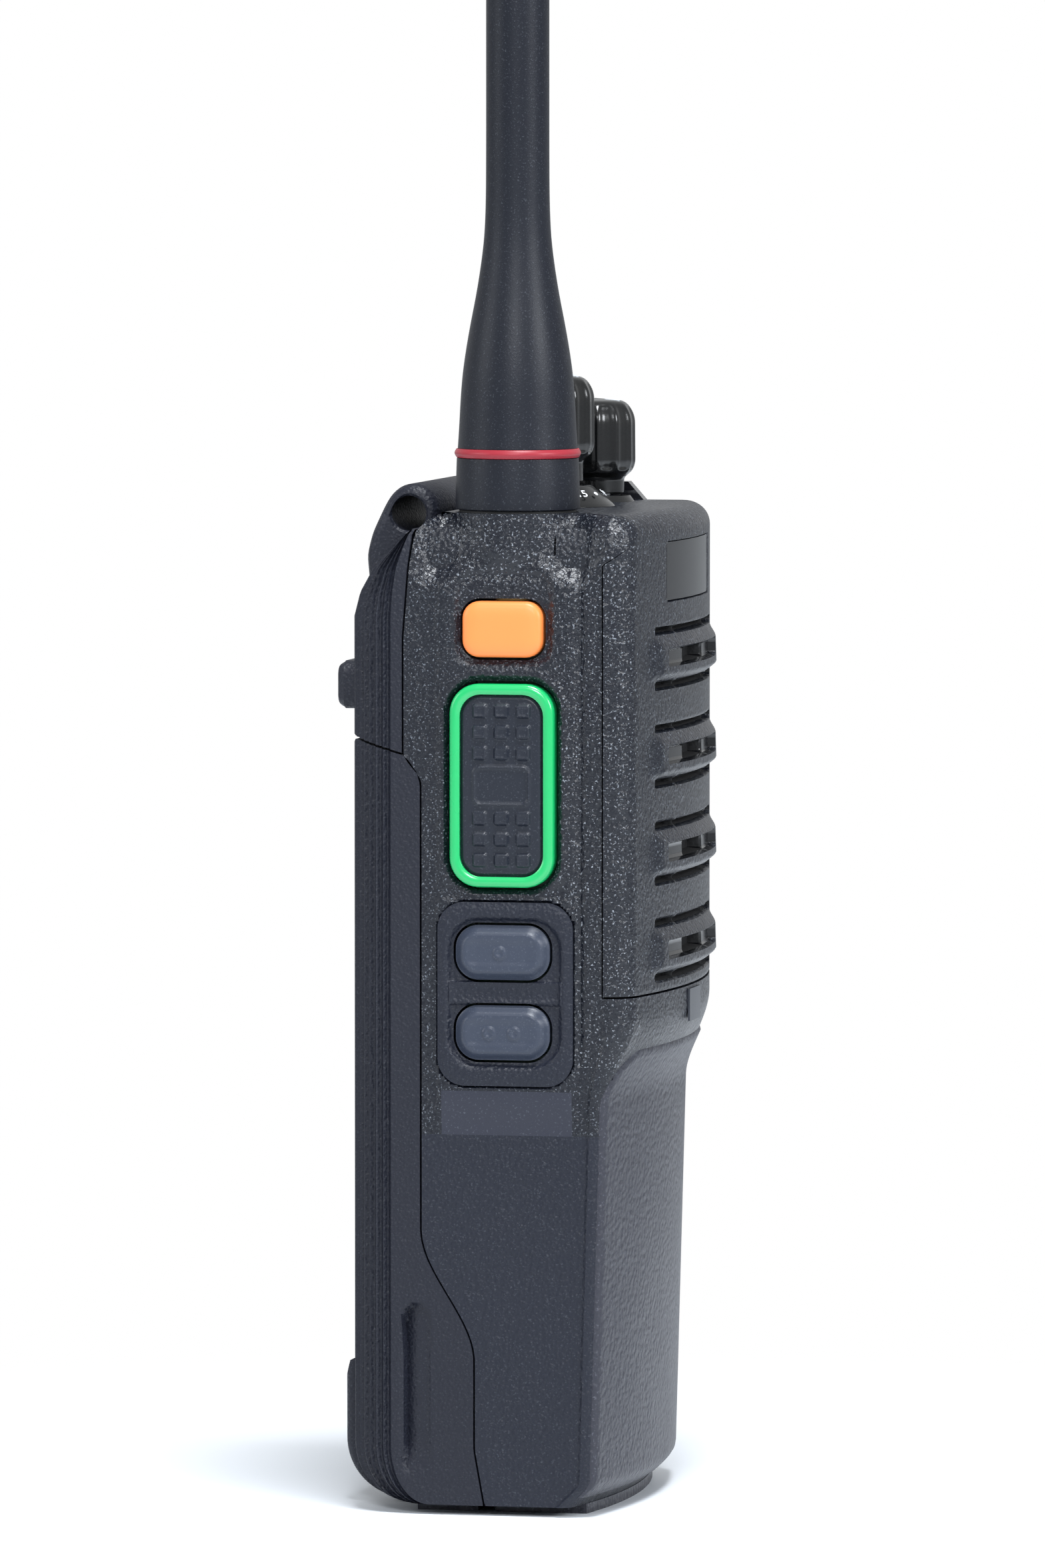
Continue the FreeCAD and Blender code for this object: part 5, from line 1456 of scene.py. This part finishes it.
@dataclass
class RearCover:
    """The upper back: ribbed corners, strap lug and belt clip rail."""

    casing: Casing
    gap: float = 0.25
    wall: float = 1.2
    front_y: float = 13.55
    bend_z: float = 115.9
    crest_z: float = 127.3
    lug_half: float = 15.0
    lug_bore: float = 2.3
    lug_y: float = 15.2
    lug_z: float = 128.9
    rail_z: float = 106.55
    rail_half: float = 15.0
    rail_tall: float = 6.3
    rail_back: float = 24.8
    insert_x: float = 9.0
    insert_radius: float = 2.2

    def back_at(self, height: float) -> float:
        """Y of the back at a height, where the shoulder slopes forwards."""
        return float(np.interp(height, (self.bend_z, 119.0, 122.2, 126.5, self.crest_z),
                               (self.casing.back, 20.2, 18.4, 14.0, 12.9)))

    def low_height(self, y: float) -> float:
        """Height of the cover's lower edge at a depth."""
        return 98.55 + 2.1 * (y - self.front_y) / (self.casing.back - self.front_y)

    def build(self) -> None:
        """Make the cover, its lug and its rail."""
        casing = self.casing
        plan = RearShell(casing)
        columns = plan.columns()
        rows = np.concatenate([np.linspace(0, 1, 22)[:-1], spread(1.0, 2.0, 0.06)])
        outer = np.zeros((len(rows), len(columns), 3))
        inner = np.zeros_like(outer)
        for row, share in enumerate(rows):
            for column, spot in enumerate(columns):
                for target, depth in ((outer, 0.0), (inner, self.wall)):
                    if share <= 1.0:
                        flat = plan.point(spot, self.front_y, casing.half - casing.flank,
                                          casing.back, depth)
                        low = self.low_height(flat[1])
                        height = low + (self.bend_z - low) * share
                    else:
                        height = self.bend_z + (self.crest_z - self.bend_z) * (share - 1.0)
                    front = casing.battery_seam(height) + self.gap
                    back = self.back_at(height)
                    half = casing.half - casing.flank * float(
                        1 - ramp(height, 124.9, 128.4)) - casing.side_reach(height)
                    x, y, _ = plan.point(spot, front, half, casing.back, depth)
                    y = front + (y - front) * max(back - front, 0.5) / (casing.back - front)
                    target[row, column] = (x, y, height)
        keep = np.ones((len(rows) - 1, len(columns) - 1), bool)
        outer, inner, keep = self._close(outer, inner, keep)
        points, faces = skin(outer, inner, keep)
        finish_mesh("rear_cover_shell", points, faces, [BATTERY_SHELL], Body.RADIO,
                    ["rear_cover"])
        self._lug()
        self._rail()

    def _close(self, outer: np.ndarray, inner: np.ndarray,
               keep: np.ndarray) -> tuple[np.ndarray, np.ndarray, np.ndarray]:
        """Close the narrow top of the cover."""
        count = outer.shape[1]
        shares = np.linspace(-1, 1, count)
        front = self.casing.battery_seam(self.crest_z) + self.gap
        last = outer[-1]
        goal = np.stack([shares * abs(last[0, 0]), np.full(count, front),
                         np.full(count, self.crest_z)], 1)
        low = inner[-1].copy()
        low[:, 2] -= 1.0
        low_goal = goal.copy()
        low_goal[:, 2] -= 1.0
        outer = np.concatenate([outer, (last + goal)[None] / 2, goal[None]])
        inner = np.concatenate([inner, (low + low_goal)[None] / 2, low_goal[None]])
        return outer, inner, np.concatenate([keep, np.ones((2, count - 1), bool)])

    def _lug_profile(self, inset: float, steps: int) -> np.ndarray:
        """The lug's side view as points around its eye."""
        corners = np.array([(12.7, 124.0), (11.6, 126.9), (11.1, 129.6), (11.7, 131.0),
                            (12.9, 132.3), (14.5, 132.9), (16.3, 132.5), (17.7, 131.3),
                            (18.6, 129.7), (20.2, 126.3), (20.9, 123.5), (20.4, 118.0),
                            (16.0, 118.0)])
        closed = np.vstack([corners, corners[:1]])
        length = np.concatenate([[0], np.cumsum(np.hypot(*np.diff(closed, axis=0).T))])
        runs = np.linspace(0, length[-1], steps, endpoint=False)
        line = np.stack([np.interp(runs, length, closed[:, axis]) for axis in (0, 1)], 1)
        for _ in range(2):
            line = (np.roll(line, 1, 0) + 2 * line + np.roll(line, -1, 0)) / 4
        centre = np.array((self.lug_y + 0.6, self.lug_z - 2.0))
        away = line - centre
        return centre + away * (1 - inset / np.linalg.norm(away, axis=1))[:, None]

    def _lug(self) -> None:
        """The strap lug, a rounded block with a bore along X."""
        steps = 64
        half, bevel = self.lug_half, 0.3
        profile = self._lug_profile(0.0, steps)
        angles = np.arctan2(profile[:, 1] - self.lug_z, profile[:, 0] - self.lug_y)
        levels = ((-half, 1.2), (bevel - half, 0.5), (1.1 - half, 0.0), (half - 1.1, 0.0),
                  (half - bevel, 0.5), (half, 1.2))
        rings = [[(x, y, z) for y, z in self._lug_profile(inset, steps)] for x, inset in levels]
        for x, flare in ((half, bevel), (half - bevel, 0.0), (bevel - half, 0.0),
                         (-half, bevel)):
            rings.append([(x, self.lug_y + (self.lug_bore + flare) * math.cos(angle),
                           self.lug_z + (self.lug_bore + flare) * math.sin(angle))
                          for angle in angles])
        points = [point for ring in rings for point in ring]
        faces = loft_faces(len(rings), steps, closed=True)
        finish_mesh("strap_lug", points, faces, [BATTERY_SHELL], Body.RADIO)

    def _rail(self) -> None:
        """The belt clip rail, a rounded bar with two holes for its brass inserts."""
        outline = Outline(0.0, self.rail_z, 2 * self.rail_half, self.rail_tall, 1.85)
        x, z, keep = grid(outline, 0.25)
        x, z = drawn_in(outline, x, z)
        bore = 2 * self.insert_radius
        for side in (-1, 1):
            hole = Outline(side * self.insert_x, self.rail_z, bore, bore, self.insert_radius)
            x, z = cut_window(hole, x, z, keep)
        edge = 1 - ramp(-outline.distance(x, z), 0.0, 1.0)
        y = self.rail_back - 0.02 - 0.9 * edge ** 2
        outer = np.stack([x, y, z], 2)
        inner = np.stack([x, np.full_like(x, self.rail_back - 4.9), z], 2)
        points, faces = skin(outer, inner, keep)
        finish_mesh("clip_rail", points, faces, [BATTERY_SHELL], Body.RADIO)


@dataclass
class SideControls:
    """The talk button, alert button and both keys, with the frame round the keys."""

    housing: Housing

    def build(self) -> None:
        """Make every control on the talk button side."""
        self._talk()
        self._alert()
        self._keys()
        self._key_frame()

    @staticmethod
    def _pulled_in(outline: Outline, y: np.ndarray, z: np.ndarray,
                   margin: float) -> tuple[np.ndarray, np.ndarray]:
        """Move the points outside an outline to this margin inside it, in one straight step."""
        step = 0.01
        away = outline.distance(y, z)
        sink = np.maximum(away + margin, 0)
        slope_y = (outline.distance(y + step, z) - away) / step
        slope_z = (outline.distance(y, z + step) - away) / step
        return y - sink * slope_y, z - sink * slope_z

    @staticmethod
    def _button(y: np.ndarray, z: np.ndarray, relief: np.ndarray, root: float,
                keep: np.ndarray) -> tuple[np.ndarray, list]:
        """A closed block on the talk button side, from a flat root out to a relief."""
        outer = np.stack([-relief, y, z], 2)
        return skin(outer, np.stack([np.full_like(y, -root), y, z], 2), keep)

    def _talk(self) -> None:
        """The talk pad with its grid of small squares, and the green ring round it."""
        talk = self.housing.talk
        rim = 1.35
        ring_outer = [(0.0, 25.0), (0.0, 27.2), (0.12, 27.5), (0.4, 27.68), (0.75, 27.7)]
        inner = Outline(talk.across, talk.height, talk.width - 2 * rim, talk.tall - 2 * rim,
                        talk.corner - 1.0)
        loops = [[(-x, y, z) for y, z in talk.loop(inset, 10)] for inset, x in ring_outer]
        loops += [[(-x, y, z) for y, z in inner.loop(inset, 10)]
                  for inset, x in ((-0.25, 27.68), (0.0, 27.5), (0.0, 25.0))]
        points = [point for loop in loops for point in loop]
        faces = loft_faces(len(loops), len(loops[0]), closed=True)
        finish_mesh("talk_ring", points, faces, [GREEN_RING], Body.TALK,
                    ["talk_rim"])
        self._talk_pad(inner)

    def _talk_pad(self, outline: Outline) -> None:
        """The rubber pad inside the green ring, as a relief on a fine grid."""
        y, z, keep = grid(outline, 0.14)
        y, z = drawn_in(outline, y, z)
        dome = 0.35 * (1 - ((z - outline.height) / (outline.tall / 2)) ** 2)
        edge = ramp(-outline.distance(y, z), 0.0, 0.55)
        relief = 26.95 + (dome + 0.25) * edge
        for column in (-1, 0, 1):
            for half in (-1, 1):
                for line in (0, 1, 2):
                    square = Outline(outline.across + column * 2.85,
                                     outline.height + half * (4.2 + line * 2.7), 1.8, 1.65, 0.25)
                    inside = square.distance(y, z)
                    relief = relief + 0.36 * ramp(-inside, -0.14, 0.16)
                    relief = relief - 0.06 * ramp(-inside, 0.25, 0.45)
        badge = Outline(outline.across, outline.height, 7.6, 5.2, 1.1).distance(y, z)
        relief = relief + 0.24 * np.exp(-((badge + 0.2) / 0.2) ** 2)
        points, faces = self._button(y, z, relief, 24.7, keep)
        finish_mesh("talk_pad", points, faces, [TALK_RUBBER], Body.TALK,
                    ["talk_button"])

    def _alert(self) -> None:
        """The orange alert button, with soft round edges."""
        levels = ((0.0, 24.6), (0.0, 26.7), (0.12, 27.1), (0.4, 27.35), (0.9, 27.48),
                  (1.8, 27.54), (2.6, 27.56))
        points, faces = cap_piece(self.housing.alert, levels)
        finish_mesh("alert_cap", points, faces, [ORANGE_CAP], Body.ALERT,
                    ["alert_button"])

    def _keys(self) -> None:
        """Both keys as reliefs: bevelled, with a shallow waist and raised rings."""
        for name, outline, body, dots in (
                ("upper", self.housing.upper_key, Body.UPPER_KEY, (0.25,)),
                ("lower", self.housing.lower_key, Body.LOWER_KEY, (-1.65, 1.65))):
            y, z, keep = grid(outline, 0.13)
            y, z = self._pulled_in(outline, y, z, 0.02)
            inside = -outline.distance(y, z)
            relief = 26.5 + 1.1 * ramp(inside, -0.1, 1.3)
            waist = 1 - ramp(np.abs(z - outline.height), 0.9, 1.9)
            relief = relief - 0.12 * waist * ramp(inside, 0.5, 1.5)
            relief = relief + 0.12 * ramp(np.abs(y - outline.across), 3.0, 5.0) * ramp(
                inside, 0.8, 1.6)
            for dot in dots:
                far = np.hypot(y - outline.across - dot, z - outline.height)
                relief = relief + 0.2 * (1 - ramp(far, 0.65, 0.95)) - 0.1 * (
                    1 - ramp(far, 0.1, 0.6))
            points, faces = self._button(y, z, relief, 24.6, keep)
            finish_mesh(f"{name}_key_cap", points, faces, [KEY_RUBBER], body,
                        [f"side_{name}_key"])

    def _key_frame(self) -> None:
        """The frame round both keys, with the bar between them."""
        pad = self.housing.key_pad
        y, z, keep = grid(pad, 0.2)
        y, z = self._pulled_in(pad, y, z, 0.03)
        for outline in (self.housing.upper_key, self.housing.lower_key):
            y, z = cut_window(outline.grown(0.3), y, z, keep)
        tray = Outline(-0.05, 67.75, 14.5, 18.9, 3.8)
        inside = -tray.distance(y, z)
        relief = 27.2 - 0.18 * ramp(pad.distance(y, z), -1.1, 0.0)
        relief = relief - 0.75 * ramp(inside, -0.5, 0.35)
        bar = Outline(-0.15, 67.75, 14.8, 3.0, 0.2).distance(y, z)
        relief = relief + 0.4 * ramp(-bar, -0.1, 0.12)
        relief = relief - 0.14 * ramp(-bar, 0.25, 0.9)
        points, faces = self._button(y, z, relief, 26.3, keep)
        finish_mesh("key_surround", points, faces, [ETCHED], Body.RADIO,
                    ["key_frame"])


@dataclass
class Antenna:
    """The whip, its collar and the coloured ring between them."""

    x: float = -18.0
    y: float = 0.1
    collar_low: float = 129.75
    ring_low: float = 136.4
    ring_top: float = 137.6
    tip: float = 279.7
    collar_radius: float = 8.05

    def build(self) -> None:
        """Turn the three pieces of the antenna that show."""
        centre = (self.x, self.y)
        collar = rounded_profile([
            (5.05, self.collar_low, 0), (self.collar_radius, self.collar_low, 0.15),
            (self.collar_radius, self.collar_low + 1.2, 0.3),
            (self.collar_radius - 0.18, self.ring_low - 0.02, 0.12), (5.05, self.ring_low, 0)])
        points, faces = lathe(collar + [collar[0]], centre, 96)
        finish_mesh("antenna_sleeve_collar", points, faces, [WHIP_SLEEVE], Body.ANTENNA,
                    ["antenna_collar"])
        middle = (self.ring_low + self.ring_top) / 2
        ring = rounded_profile([
            (5.65, self.ring_low + 0.02, 0), (self.collar_radius - 0.15, self.ring_low + 0.02, 0.1),
            (self.collar_radius + 0.2, middle, 0.5),
            (self.collar_radius - 0.15, self.ring_top - 0.02, 0.1),
            (5.65, self.ring_top - 0.02, 0)])
        points, faces = lathe(ring + [ring[0]], centre, 96)
        finish_mesh("antenna_band", points, faces, [RED_RING], Body.ANTENNA,
                    ["colour_ring"])
        heights = (137.62, 140.3, 143.8, 147.2, 150.7, 154.1, 157.5, 161.0, 164.4, 167.8,
                   171.3, 178.0, self.tip - 2.6)
        radii = (7.74, 7.56, 7.39, 7.13, 6.62, 6.01, 5.33, 4.77, 4.34, 4.16, 4.1, 4.08, 4.08)
        levels = np.concatenate([spread(137.62, 178.0, 1.1), spread(178.0, self.tip - 2.6, 8)[1:]])
        smooth = np.interp(levels, heights, radii)
        for _ in range(2):
            smooth[1:-1] = (smooth[:-2] + 2 * smooth[1:-1] + smooth[2:]) / 4
        sleeve = [(5.65, 137.62)] + [(float(r), float(z)) for r, z in zip(smooth, levels)]
        for step in range(1, 7):
            angle = math.pi / 2 * step / 6
            sleeve.append((1.48 + 2.6 * math.cos(angle), self.tip - 2.6 + 2.6 * math.sin(angle)))
        sleeve.append((0.0, self.tip))
        points, faces = joined(lathe(sleeve, centre, 96),
                               lathe([(0.0, 137.63), (5.65, 137.62)], centre, 96))
        finish_mesh("whip_sleeve", points, faces, [WHIP_SLEEVE], Body.ANTENNA,
                    ["antenna_whip"])


@dataclass
class Knob:
    """One fluted rotary knob."""

    name: str
    body: Body
    centre: tuple[float, float]
    neck_low: float
    body_low: float
    top: float
    radius: float = 5.3
    neck: float = 3.8
    flutes: int = 12
    flute_depth: float = 0.07
    shaft_bore: float = 2.02

    def build(self) -> None:
        """Turn the knob with its flutes and its pointer line."""
        profile = rounded_profile([
            (self.shaft_bore, self.neck_low, 0), (self.neck, self.neck_low, 0.2),
            (self.neck, self.body_low - 1.0, 0.4), (self.radius - 0.35, self.body_low, 0.5),
            (self.radius, self.body_low + 1.0, 0.6), (self.radius - 0.05, self.top - 2.2, 1.2),
            (self.radius - 1.3, self.top - 0.35, 1.0), (0.0, self.top, 0)], 6)
        dense: list[tuple[float, float]] = []
        for (r0, z0), (r1, z1) in zip(profile, profile[1:]):
            pieces = max(int(math.hypot(r1 - r0, z1 - z0) / 0.8), 1)
            dense += [(r0 + (r1 - r0) * step / pieces, z0 + (z1 - z0) * step / pieces)
                      for step in range(pieces)]
        dense.append(profile[-1])

        def flute(angle: float, height: float) -> float:
            wave = 0.5 - 0.5 * math.cos(self.flutes * angle)
            grip = float(ramp(height, self.body_low - 0.2, self.body_low + 0.6)
                         * (1 - ramp(height, self.top - 1.6, self.top - 0.5)))
            return 1 - self.flute_depth * grip * (1 - wave ** 2.2)

        bore, bore_top = self.shaft_bore, self.top - 3
        points, faces = joined(
            lathe(dense, self.centre, 144, flute),
            lathe([(bore, bore_top), (bore, self.neck_low)], self.centre, 144),
            lathe([(0.0, bore_top), (bore, bore_top)], self.centre, 144))
        finish_mesh(f"{self.name}_grip", points, faces, [KNOB], self.body,
                    [f"{self.name}_knob"])
        mark = Outline(0.0, 0.0, 0.8, 2.2, 0.3)
        rings = []
        top_z = self.top + 0.02
        for inset, lift in ((0.0, -0.25), (0.0, 0.0), (0.1, 0.03)):
            rings.append([(self.centre[0] + x, self.centre[1] - 2.3 + y,
                           top_z + lift - 0.06) for x, y in mark.loop(inset, 5)])
        count = len(rings[0])
        mark_points = [point for ring in rings for point in ring]
        mark_faces = [tuple(range(count))[::-1], tuple(range(2 * count, 3 * count))]
        mark_faces += loft_faces(len(rings), count)
        finish_mesh(f"{self.name}_pointer", mark_points, mark_faces, [PAINT], self.body)


@dataclass
class ChannelDial:
    """The sloped skirt round the channel knob, with plain numbers."""

    centre: tuple[float, float] = (1.0, -0.7)
    low: float = 129.4
    top: float = 132.3
    low_radius: float = 8.0
    top_radius: float = 4.9
    positions: int = 16

    def build(self) -> None:
        """Turn the skirt and set its numbers on the slope."""
        profile = rounded_profile([
            (3.65, self.low, 0), (self.low_radius, self.low, 0.1),
            (self.low_radius - 0.3, self.low + 0.35, 0.2),
            (self.top_radius, self.top - 0.15, 0.3), (3.65, self.top, 0)])
        points, faces = lathe(profile + [profile[0]], self.centre, 96)
        finish_mesh("channel_skirt", points, faces, [KNOB], Body.RADIO,
                    ["channel_dial"])
        meshes = []
        slope = math.atan2(self.top - self.low - 0.5, self.low_radius - self.top_radius - 0.3)
        middle_r = (self.low_radius + self.top_radius) / 2 + 0.15
        middle_z = (self.low + self.top) / 2 + 0.28
        for index in range(0, self.positions, 2):
            angle = 2 * math.pi * index / self.positions - math.pi / 2
            curve = bpy.data.curves.new(f"number_{index}", "FONT")
            curve.body = str(index + 1)
            curve.size = 1.75 * MM
            curve.align_x = "CENTER"
            curve.align_y = "CENTER"
            curve.extrude = 0.03 * MM
            label = bpy.data.objects.new(f"number_{index}", curve)
            bpy.context.scene.collection.objects.link(label)
            bpy.context.view_layer.update()
            graph = bpy.context.evaluated_depsgraph_get()
            mesh = bpy.data.meshes.new_from_object(label.evaluated_get(graph))
            bpy.data.objects.remove(label)
            place = (Matrix.Translation(Vector((
                (self.centre[0] + middle_r * math.cos(angle)) * MM,
                (self.centre[1] + middle_r * math.sin(angle)) * MM, middle_z * MM)))
                @ Matrix.Rotation(angle + math.pi / 2, 4, "Z")
                @ Matrix.Rotation(slope, 4, "X"))
            mesh.transform(place)
            meshes.append(mesh)
        dots = stud_ring("dial_dots", {
            "Count": self.positions // 2, "Ring Radius": middle_r * MM,
            "Stud Radius": 0.3 * MM, "Stud Height": 0.06 * MM, "Slope": slope, "Seed": 7},
            PAINT)
        first = 2 * math.pi / self.positions - math.pi / 2
        dots.transform(Matrix.Translation(Vector((*self.centre, middle_z)) * MM)
                       @ Matrix.Rotation(first, 4, "Z"))
        meshes.append(dots)
        joined = bmesh.new()
        for mesh in meshes:
            joined.from_mesh(mesh)
            bpy.data.meshes.remove(mesh)
        result = bpy.data.meshes.new("dial_numbers")
        joined.to_mesh(result)
        joined.free()
        result.materials.clear()
        result.materials.append(PAINT.make())
        result.polygons.foreach_set("material_index", [0] * len(result.polygons))
        numbers = bpy.data.objects.new("dial_numbers", result)
        bpy.context.scene.collection.objects.link(numbers)
        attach(numbers, Body.RADIO.value)


@dataclass
class Studio:
    """The floor, the lamps, the world and the camera at the photograph's angle."""

    camera_spot: tuple[float, float, float] = (-1565.7, -329.5, 195.0)
    heading: float = 12.0
    pitch: float = 3.646
    lens: float = 281.7
    floor_hex: str = "f4f8fc"

    def build(self) -> None:
        """Make everything that isn't part of the radio."""
        self._floor()
        self._world()
        self._lamps()
        self._camera()

    def _floor(self) -> None:
        """A wide pale floor that the camera sees as white away from the shadow."""
        size = 6.0
        mesh = bpy.data.meshes.new("floor")
        mesh.from_pydata([(-size, -size, 0), (size, -size, 0), (size, size, 0),
                          (-size, size, 0)], [], [(0, 1, 2, 3)])
        material = bpy.data.materials.new("pale_studio_floor")
        material.use_nodes = True
        tree = material.node_tree
        shader = tree.nodes["Principled BSDF"]
        shader.inputs["Base Color"].default_value = linear(self.floor_hex)
        shader.inputs["Roughness"].default_value = 0.35
        place = add_node(tree, "ShaderNodeTexCoord").outputs["Object"]
        reach = add_node(tree, "ShaderNodeVectorMath", {}, {0: place}, operation="LENGTH")
        far = add_node(tree, "ShaderNodeMapRange", {"From Min": 0.045, "From Max": 0.17},
                       {"Value": reach.outputs["Value"]}, interpolation_type="SMOOTHSTEP")
        seen = add_node(tree, "ShaderNodeLightPath").outputs["Is Camera Ray"]
        share = add_node(tree, "ShaderNodeMath", {}, {0: far.outputs[0], 1: seen},
                         operation="MULTIPLY")
        white = add_node(tree, "ShaderNodeEmission", {"Color": (1, 1, 1, 1), "Strength": 1.0})
        mix = add_node(tree, "ShaderNodeMixShader", {}, {0: share.outputs[0],
                                                        1: shader.outputs[0],
                                                        2: white.outputs[0]})
        tree.links.new(mix.outputs[0], tree.nodes["Material Output"].inputs["Surface"])
        mesh.materials.append(material)
        floor = bpy.data.objects.new("floor", mesh)
        bpy.context.scene.collection.objects.link(floor)

    def _world(self) -> None:
        """White to the eye and to reflections, softer as a light."""
        world = bpy.data.worlds.new("studio")
        bpy.context.scene.world = world
        world.use_nodes = True
        tree = world.node_tree
        shade = tree.nodes["Background"]
        shade.inputs["Color"].default_value = (0.88, 0.94, 1.0, 1.0)
        shade.inputs["Strength"].default_value = 0.3
        white = add_node(tree, "ShaderNodeBackground", {"Color": (1, 1, 1, 1), "Strength": 1.0})
        path = add_node(tree, "ShaderNodeLightPath")
        glossy = add_node(tree, "ShaderNodeMath", {1: 0.45}, {0: path.outputs["Is Glossy Ray"]},
                          operation="MULTIPLY")
        seen = add_node(tree, "ShaderNodeMath", {}, {0: path.outputs["Is Camera Ray"],
                                                    1: glossy.outputs[0]},
                        operation="MAXIMUM")
        through = add_node(tree, "ShaderNodeMath", {}, {0: seen.outputs[0],
                                                       1: path.outputs["Is Transmission Ray"]},
                           operation="MAXIMUM")
        mix = add_node(tree, "ShaderNodeMixShader", {}, {0: through.outputs[0],
                                                        1: shade.outputs[0],
                                                        2: white.outputs[0]})
        tree.links.new(mix.outputs[0], tree.nodes["World Output"].inputs["Surface"])

    def _lamps(self) -> None:
        """Soft boxes: above, in front of the speaker, on the talk button side and behind the
        battery.
        """
        boxes = (("soft_box_top", (-0.3, -0.15, 1.0), 0.3, 12.5),
                 ("soft_box_front", (-0.45, -1.0, 0.55), 0.4, 8.6),
                 ("soft_box_left", (-1.15, -0.1, 0.7), 0.3, 7.6),
                 ("soft_box_rear", (-0.55, 1.1, 0.5), 0.6, 4.4))
        for name, spot, size, power in boxes:
            data = bpy.data.lights.new(name, "AREA")
            data.size = size
            data.energy = power
            data.color = (0.93, 0.96, 1.0)
            lamp = bpy.data.objects.new(name, data)
            lamp.location = spot
            aim = Vector((0, 0, 0.09)) - Vector(spot)
            lamp.rotation_euler = aim.to_track_quat("-Z", "Y").to_euler()
            bpy.context.scene.collection.objects.link(lamp)

    def _camera(self) -> None:
        """The camera where the photograph was taken from."""
        data = bpy.data.cameras.new("camera")
        data.sensor_fit = "VERTICAL"
        data.sensor_height = 36.0
        data.lens = self.lens
        data.clip_end = 20.0
        camera = bpy.data.objects.new("camera", data)
        turn, dip = math.radians(self.heading), math.radians(self.pitch)
        ahead = Vector((math.cos(turn) * math.cos(dip), math.sin(turn) * math.cos(dip),
                        -math.sin(dip)))
        camera.location = Vector(self.camera_spot) * MM
        camera.rotation_euler = ahead.to_track_quat("-Z", "Y").to_euler()
        bpy.context.scene.collection.objects.link(camera)
        bpy.context.scene.camera = camera
        bpy.context.scene.view_settings.view_transform = "Standard"


def dress_cad_nodes() -> None:
    """Give every CAD node that stays its finish."""
    for name, finish in NODE_FINISHES.items():
        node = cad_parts[name]
        material = finish.make()
        node.data.materials.clear()
        node.data.materials.append(material)


def main() -> None:
    """Build the radio's looks, piece by piece."""
    logging.basicConfig(level=logging.INFO, format="%(message)s")
    casing = Casing()
    housing = Housing(casing)
    dress_cad_nodes()
    housing.build()
    GrillePanel(casing).build()
    GripPatch(casing).build()
    BatteryCase(casing).build()
    RearCover(casing).build()
    SideControls(housing).build()
    Antenna().build()
    Knob("channel", Body.CHANNEL, (1.0, -0.7), 132.6, 136.3, 146.6).build()
    Knob("volume", Body.VOLUME, (17.0, -2.9), 130.5, 133.5, 143.0).build()
    ChannelDial().build()
    Studio().build()


if __name__ == "__main__":
    main()
